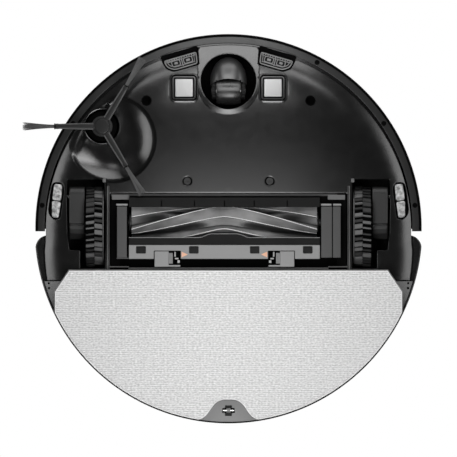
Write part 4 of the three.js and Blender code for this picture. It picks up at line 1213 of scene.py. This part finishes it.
def tyre(side, word):
    """A carcass with two columns of lugs. Some lugs are worn darker than the others."""
    rng = random.Random(21)
    carcass = [(27, 112.7), (32.0, 112.7), (33.0, 113.0), (33.4, 113.6), (33.4, 128.0), (33.0, 128.6),
               (32.0, 128.9), (27, 128.9)]
    shoulder = [(32.6, 112.75), (34.6, 112.75), (34.8, 113.0), (34.8, 113.4), (34.6, 113.6), (32.6, 113.6)]
    fresh, worn = [on_axle(shoulder, WHEEL_Y, WHEEL_R, 128)], []
    for column, (x0, x1) in enumerate(((113.8, 121.0), (121.0, 128.6))):
        for i in range(LUGS):
            a = TURN * (i + 0.22 * column + rng.uniform(-0.09, 0.09)) / LUGS
            half = rng.choice((0.7, 1.3, 1.7, 2.0))
            lean = 0.9 if column else -0.9
            lug = tread_lug(x0, x1, half, lean, rng.uniform(0.2, 1.6))
            spin = Matrix.Translation((0, WHEEL_Y, WHEEL_R)) @ Matrix.Rotation(a, 4, "X")
            chosen = worn if rng.random() < 0.4 else fresh
            chosen.append(moved(lug, spin))
    # the carcass is near-black where it shows between the lugs: painted shade
    make(f"tyre_carcass_{word}", sided(on_axle(carcass, WHEEL_Y, WHEEL_R, 128), side), SHADE_BLACK, f"{word}_wheel",
         "tyre_rubber", [f"drive_tyre_{word}"])
    make(f"tread_{word}", [sided(lug, side) for lug in fresh], TYRE, f"{word}_wheel", "tyre_rubber")
    make(f"tread_worn_{word}", [sided(lug, side) for lug in worn], TYRE_WORN, f"{word}_wheel", "tyre_rubber")


def gearbox(side, word):
    flat = softened([(-37, 16.5), (-34.5, 14.6), (-5.6, 14.6), (-5.0, 16.2), (-4.0, 16.2), (-3.4, 15.2),
                     (-1.0, 15.2), (3.5, 17.8), (8.4, 26), (8.8, 46), (-6, 56.8), (-30, 56.8), (-38.8, 48),
                     (-38.8, 20)], 0.7, 3)
    casing = moved(slab(flat, z0=129.9, z1=144.0, low=0.6, high=1.6), ALONG_X)
    axle = on_axle([(0, 114.2), (3.6, 114.2), (4, 114.6), (4, 130.5), (0, 130.5)], WHEEL_Y, WHEEL_R, 40)
    rib = block(131.2, 142.6, -33.35, -32.65, 14.35, 15.4, 0.2)
    arm = [sided(part, side) for part in (casing, axle, rib)]
    make(f"gearbox_{word}", arm, DARK, f"{word}_suspension", "dark_plastic", [f"wheel_arm_{word}"])


def drive_wheels():
    for side, word in SIDES:
        tyre(side, word)
        gearbox(side, word)
        finish_node(f"wheel_hub_{word}", DARK)
        finish_node(f"suspension_pin_{word}", STEEL)
        finish_node(f"suspension_spring_{word}", STEEL)


# ------------------------------------------------------------------------------ mop pad, plate and tank
def mop_outline(r, grow, with_notch):
    """A half round with slanted front corners. with_notch leaves a bell-shaped gap at the back."""
    side_x = 156.5 + grow
    start = math.atan2(math.sqrt(r * r - side_x ** 2), side_x)
    points = [(-143.5 - grow / 2, 37 - grow), (143.5 + grow / 2, 37 - grow), (side_x, 56 - grow / 2)]
    if with_notch:
        edge = math.acos(27 / r)
        edge_y = math.sin(edge) * r
        bell = (27, edge_y), (15.5, edge_y - 2), (16.5, 153.3), (3, 153.3)
        p0, p1, p2, p3 = (Vector(p) for p in bell)
        half = arc(r, start, edge, 70)
        for k in range(1, 15):
            t = k / 14
            s = 1 - t
            half.append(tuple(p0 * s ** 3 + p1 * 3 * s * s * t + p2 * 3 * s * t * t + p3 * t ** 3))
        points += half + [(-x, y) for x, y in reversed(half)]
    else:
        points += arc(r, start, math.pi - start, 170)
    return points + [(-side_x, 56 - grow / 2)]


def pad_solid(outline):
    """The pad as a thin crowned cushion with real ribs on its face and rounded edges."""
    loop = wound(outline)
    pitch = 1.9
    samples = []
    y = 38.0
    while y < 174:
        samples += [(i * 3.0 + 0.7 * math.sin(y), y) for i in range(-53, 54)]
        y += pitch / 4
    samples = np.array(samples)
    start = inset(loop, 2.2)
    samples = samples[inside_loop(samples, start) & ~near_loop(samples, start, 0.35)]

    def face_z(x, y):
        return 0.02 + 0.06 * (1 + math.sin(TURN * y / pitch + 0.8 * math.sin(x / 17)))

    bm, (lower,) = fitted_sheet([start], samples, face_z)
    for shift, z in [(1.6, 0.15), (0.7, 0.35), (0.2, 0.9), (0.0, 1.6), (0.0, 3.2), (0.3, 3.8), (0.8, 4.0)]:
        upper = [bm.verts.new((x, y, z)) for x, y in inset(loop, shift)]
        bridge(bm, lower, upper)
        lower = upper
    for a, b, c in tessellate_polygon([[v.co for v in lower]]):
        bm.faces.new((lower[a], lower[b], lower[c]))
    return settled(bm)


def mop():
    outline = mop_outline(PAD_R, 0, True)
    pad = pad_solid(outline)
    piece = make("mop_pad_cloth", pad, CLOTH, "mop_module", "mop_cloth", ["mop_pad"], sharp=60,
                 weighted=False)
    edge = wound(outline)
    binding = slab(inset(edge, -0.05), [inset(edge, 1.3)],
                   profile=[(0.35, 0.25), (0.15, 0.45), (0.0, 0.8), (0.0, 3.4), (0.2, 3.8)])
    hem = make("mop_pad_binding", binding, BINDING, "mop_module", "mop_cloth", sharp=60)

    plus = [(x, LATCH_Y + y) for x, y in [(-3, -4.5), (3, -4.5), (3, -2.2), (5.5, -2.2), (5.5, 2.2), (3, 2.2),
            (3, 4.8), (-3, 4.8), (-3, 2.2), (-5.5, 2.2), (-5.5, -2.2), (-3, -2.2)]]
    plate = slab(mop_outline(PAD_R, 0.9, False), [softened(plus, 0.4, 2)], z0=4.2, z1=8.0, low=0.4)
    make("mop_carrier", plate, TAB_GREY, "mop_module", "grey_plastic", ["mop_plate"])
    rod = [(0, -5.2), (0.9, -5.2), (1.25, -4.8), (1.25, 4.8), (0.9, 5.2), (0, 5.2)]
    make("mop_latch_rod", on_axle(rod, LATCH_Y, 6.2, 32), STEEL, "mop_module", "steel", ["mop_latch_pin"])
    lever = blocks((-2.7, 2.7, 158.9, 161.0, 6.6, 8.0, 0.3), (-2.7, 2.7, 165.2, 167.6, 6.6, 8.0, 0.3))
    make("mop_latch_lever", lever, MATTE_BLACK_AND_SHADE, "mop_latch", "body_plastic", ["mop_latch"])
    barrel = [(1.4, -1.9), (1.9, -1.9), (2.1, -1.6), (2.1, 1.6), (1.9, 1.9), (1.4, 1.9)]
    make("mop_latch_barrel", on_axle(barrel, LATCH_Y, 6.2, 32), GREY, "mop_latch", "body_plastic")

    tank = lathe([(0, 8.4), (146, 8.4), (150, 9.2), (154, 10.6), (158, 12.3), (164, 15.0), (170, 17.8),
                  (172.7, 19.1), (173, 19.5), (173, 23.2), (172.8, 23.4), (0, 23.4)], segments=256)
    make("tank_shell", cut_off(tank, (0, TANK_Y + 0.3, 0), (0, -1, 0)), SHELL, "mop_module", "dark_plastic",
         ["water_tank"])
    dot = [(0, 16.9), (0.8, 17.0), (1.0, 17.4), (1.0, 19), (0, 19)]
    make("tank_side_dots", both_sides([lathe(dot, 162.2, y, 24) for y in (48.4, 52.8)]), SHADE_BLACK, "mop_module",
         "dark_plastic")
    finish_node("tank_plug", TYRE)


# ------------------------------------------------------------------------------ top side and insides
def lid_outline(front_y, shrink, hinge_notches=()):
    x, r = 96 - shrink, 150 - shrink
    corner = math.acos(x / r)
    front = [(-x, front_y)]
    for x0, x1, depth_y in hinge_notches:
        front += [(x0, front_y), (x0, depth_y), (x1, depth_y), (x1, front_y)]
    return front + [(x, front_y)] + arc(r, corner, math.pi - corner, 90)


def cover_and_lid():
    holes = [lid_outline(22.8, 0), circle(37.8, 0, TURRET_Y, 96)]
    holes += [circle(8.4, x, BUTTON_Y, 40) for x in (-BUTTON_X, BUTTON_X)]
    deck = slab(circle(156.5, count=192), holes, profile=edge_profile(77.5, 80, 0, 0.5), sharp_outer=True)
    rim = lathe([(156.5, 80.0), (159.5, 79.8), (162, 79.2), (163.8, 78.2), (164.8, 76.8), (165, 75),
                 (165, 44.7), (164.7, 44.3), (162.5, 44.3), (162.5, 75), (161.5, 77), (156.5, 77.5)])
    make("cover_deck", deck, COVER, *BASE, ["top_cover"])
    make("cover_rim", rim, COVER, *BASE)
    make("lid_hinge_lugs", both_sides(blocks((72, 78, 18, 30.4, 72.2, 77.2, 0.4))), DARK, *BASE)
    plate = slab(lid_outline(25.4, 0.6, [(-78.8, -71.2, 29.2), (71.2, 78.8, 29.2)]), z0=77.6, z1=80,
                 low=0.2, high=0.4)
    grip = slab(rounded(-16, 16, 136.5, 141.5, 2.4, 6), z0=80, z1=80.5, high=0.35)
    lugs = both_sides(blocks((62, 70, 25.6, 30, 73, 78, 0.4)))
    make("lid_panel", [plate, grip] + lugs, COVER, "lid", "body_plastic", ["lid"])
    finish_node("lid_hinge_pin", STEEL)


def buttons():
    cap = [(0, 80.25), (4, 80.3), (6.4, 80.5), (7.4, 80.6), (7.9, 80.3), (8, 79.9), (8, 76.5), (0, 76.5)]
    ring = [(3.0, 80.3), (3.2, 80.5), (3.6, 80.5), (3.8, 80.3), (3.4, 80.1)]
    for x, word in ((-BUTTON_X, "power"), (BUTTON_X, "home")):
        shapes = [lathe(cap, x, BUTTON_Y, 64), lathe(ring, x, BUTTON_Y, 48)]
        make(f"{word}_button_cap", shapes, WHITE, f"{word}_button", "white_plastic", [f"{word}_button"])


def turret():
    """The laser turret: a base, a drum that turns with its two lenses, and a cover on four posts."""
    base = lathe([(0, 60), (37.5, 60), (37.5, 79.6), (37.1, 80.3), (0, 80.3)], 0, TURRET_Y, 96)
    make("turret_base", [base, block(-24, 24, -81, -60, 60, 72, 1.0)], DARK, *BASE, ["lidar_base"])
    collar = [(35.6, 80.0), (35.8, 81.2), (36.6, 81.8), (38.2, 81.6), (38.9, 80.6), (39.0, 80.0)]
    make("turret_collar", lathe(collar, 0, TURRET_Y, 128), COVER, *BASE)
    drum = [(0, 81.3), (31.6, 81.3), (32.2, 81.6), (32.5, 82.2), (32.5, 91.4), (32.1, 92.1), (31.4, 92.3),
            (0, 92.3)]
    make("turret_drum", lathe(drum, 0, TURRET_Y, 128), GLOSS, "lidar_head", "gloss_black", ["lidar_head"])
    lenses = both_sides([block(3, 15, TURRET_Y - 32.6, TURRET_Y - 29, 83.5, 90.5, 0.6)])
    make("turret_lenses", lenses, LENS, "lidar_head", "clear_lens")
    cap = [(0, 93.3), (37.6, 93.3), (38.3, 93.6), (38.5, 94.2), (38.5, 95.6), (38.0, 96.5), (37.0, 97),
           (26, 97), (25.4, 96.6), (0, 96.6)]
    shapes = [lathe(cap, 0, TURRET_Y, 128)]
    for i in range(4):
        post = slab(rounded(-1.7, 1.7, -5, 5, 1.0, 4), z0=80.3, z1=94)
        place = Matrix.Translation((0, TURRET_Y, 0)) @ Matrix.Rotation(TURN * (i + 0.5) / 4, 4, "Z")
        shapes.append(moved(post, place @ Matrix.Translation((35.7, 0, 0))))
    make("turret_cover", shapes, COVER, *BASE, ["lidar_cover"])


def insides():
    for node, material in {
        "bumper_switch_left": DARK, "bumper_switch_right": DARK, "dust_bin": DARK, "dust_filter": WHITE,
        "suction_fan": DARK, "battery_pack": BUMPER_SKIN, "main_board": BOARD,
    }.items():
        finish_node(node, material)


# ------------------------------------------------------------------------------ studio
# Small soft boxes under the robot: name, place and aim from the body's axis, size and watts.
UNDER_LIGHTS = [
    ("below_middle", (0, 0, -0.35), (0, 0, 0), (0.14, 0.11), 0.071),
    ("below_rear", (0, 0.10, -0.35), (0, 0.10, 0), (0.14, 0.11), 0.341),
    ("below_back", (0, 0.22, -0.35), (0, 0.22, 0), (0.14, 0.11), 0.541),
    ("below_front_edge", (0, -0.168, -0.13), (0, -0.168, 0), (0.11, 0.068), 0.11),
    ("front_left", (-0.15, -0.36, -0.35), (-0.15, -0.36, 0), (0.14, 0.11), 0.176),
    ("front_right", (0.15, -0.36, -0.35), (0.15, -0.36, 0), (0.14, 0.11), 0.176),
    ("front_low", (0, -0.45, -0.21), (0, 0, -0.21), (0.46, 0.16), 0.85),
    ("left_panel", (-0.45, -0.05, -0.20), (0, -0.05, -0.20), (0.46, 0.13), 0.69),
    ("right_panel", (0.45, -0.05, -0.20), (0, -0.05, -0.20), (0.46, 0.13), 0.62),
    ("right_front_panel", (0.45, -0.30, -0.20), (0, -0.30, -0.20), (0.2, 0.13), 0.17),
]
# Large soft boxes above it, all aimed at its middle: name, place, size and watts.
ABOVE_LIGHTS = [
    ("above_key", (0.8, -1.0, 1.7), (1.2, 1.0), 26),
    ("above_fill", (-0.9, 0.8, 1.7), (1.2, 1.0), 15),
    ("above_side", (1.3, 0.9, 1.5), (1.2, 0.8), 10),
    ("above_left", (-1.2, -1.0, 1.5), (1.2, 0.8), 10),
]


def area_light(name, place, target, size, power):
    data = bpy.data.lights.new(name, "AREA")
    data.shape = "RECTANGLE"
    data.size, data.size_y = size
    data.energy = power
    lamp = bpy.data.objects.new(name, data)
    bpy.context.scene.collection.objects.link(lamp)
    lamp.location = place
    lamp.visible_camera = False
    lamp.rotation_euler = (Vector(target) - Vector(place)).to_track_quat("-Z", "Y").to_euler()


def lights():
    for name, place, aim, size, power in UNDER_LIGHTS:
        area_light(name, (AXIS_X + place[0], *place[1:]), (AXIS_X + aim[0], *aim[1:]), size, power)
    for name, place, size, power in ABOVE_LIGHTS:
        area_light(name, place, (0, 0, 0.08), size, power)


def world_light():
    """A white sky for the camera, and a weak even light for everything else."""
    world = bpy.data.worlds.new("studio")
    bpy.context.scene.world = world
    world.use_nodes = True
    nodes, links = world.node_tree.nodes, world.node_tree.links
    nodes.clear()
    mix = nodes.new("ShaderNodeMixShader")
    links.new(nodes.new("ShaderNodeLightPath").outputs["Is Camera Ray"], mix.inputs["Fac"])
    for i, strength in ((1, 0.027), (2, 1.0)):
        light = nodes.new("ShaderNodeBackground")
        light.inputs["Color"].default_value = (1, 1, 1, 1)
        light.inputs["Strength"].default_value = strength
        links.new(light.outputs["Background"], mix.inputs[i])
    links.new(mix.outputs["Shader"], nodes.new("ShaderNodeOutputWorld").inputs["Surface"])


def clear_from_below(paint):
    """The floor's lower face lets the camera see through, for the views from under the robot."""
    nodes, links = paint.node_tree.nodes, paint.node_tree.links
    shader = nodes["Principled BSDF"]
    target = shader.outputs["BSDF"].links[0].to_socket
    mix = nodes.new("ShaderNodeMixShader")
    links.new(nodes.new("ShaderNodeNewGeometry").outputs["Backfacing"], mix.inputs["Fac"])
    links.new(shader.outputs["BSDF"], mix.inputs[1])
    links.new(nodes.new("ShaderNodeBsdfTransparent").outputs["BSDF"], mix.inputs[2])
    links.new(mix.outputs["Shader"], target)


def floor_plane():
    """A pale floor that only the camera sees, so that it doesn't shade the lamps under it."""
    mesh = bpy.data.meshes.new("studio_floor")
    half, z = 3.0, -0.0025
    mesh.from_pydata([(-half, -half, z), (half, -half, z), (half, half, z), (-half, half, z)], [],
                     [(0, 1, 2, 3)])
    floor = bpy.data.objects.new("studio_floor", mesh)
    bpy.context.scene.collection.objects.link(floor)
    paint = moulded("floor_paint", grey(200), 0.8, relief=0.0, cloud=0.01)
    shader = paint.node_tree.nodes["Principled BSDF"]
    shader.inputs["Emission Color"].default_value = (1, 1, 1, 1)
    shader.inputs["Emission Strength"].default_value = 0.3
    mesh.materials.append(paint)
    clear_from_below(paint)
    floor.visible_shadow = False
    floor.visible_diffuse = False
    floor.visible_glossy = False
    floor.visible_transmission = False


def main_camera():
    """A long lens straight under the robot. width is what the frame shows at the height wide_z."""
    data = bpy.data.cameras.new("camera")
    camera = bpy.data.objects.new("camera", data)
    bpy.context.scene.collection.objects.link(camera)
    distance, wide_z, width = 12.0, 0.050, 0.4137
    data.sensor_width = 36.0
    data.lens = data.sensor_width * distance / width
    data.clip_start = 0.1
    data.clip_end = 30.0
    camera.location = (AXIS_X, -0.00105, wide_z - distance)
    camera.rotation_euler = (math.pi, 0, 0)
    bpy.context.scene.camera = camera
    bpy.context.scene.view_settings.view_transform = "Standard"


chassis()
chassis_walls()
underside_details()
contacts()
cliff_windows()
bumper()
rear_shell()
caster()
side_brush()
roller()
bay()
guard()
guard_latches()
drive_wheels()
mop()
cover_and_lid()
buttons()
turret()
insides()
world_light()
lights()
floor_plane()
main_camera()
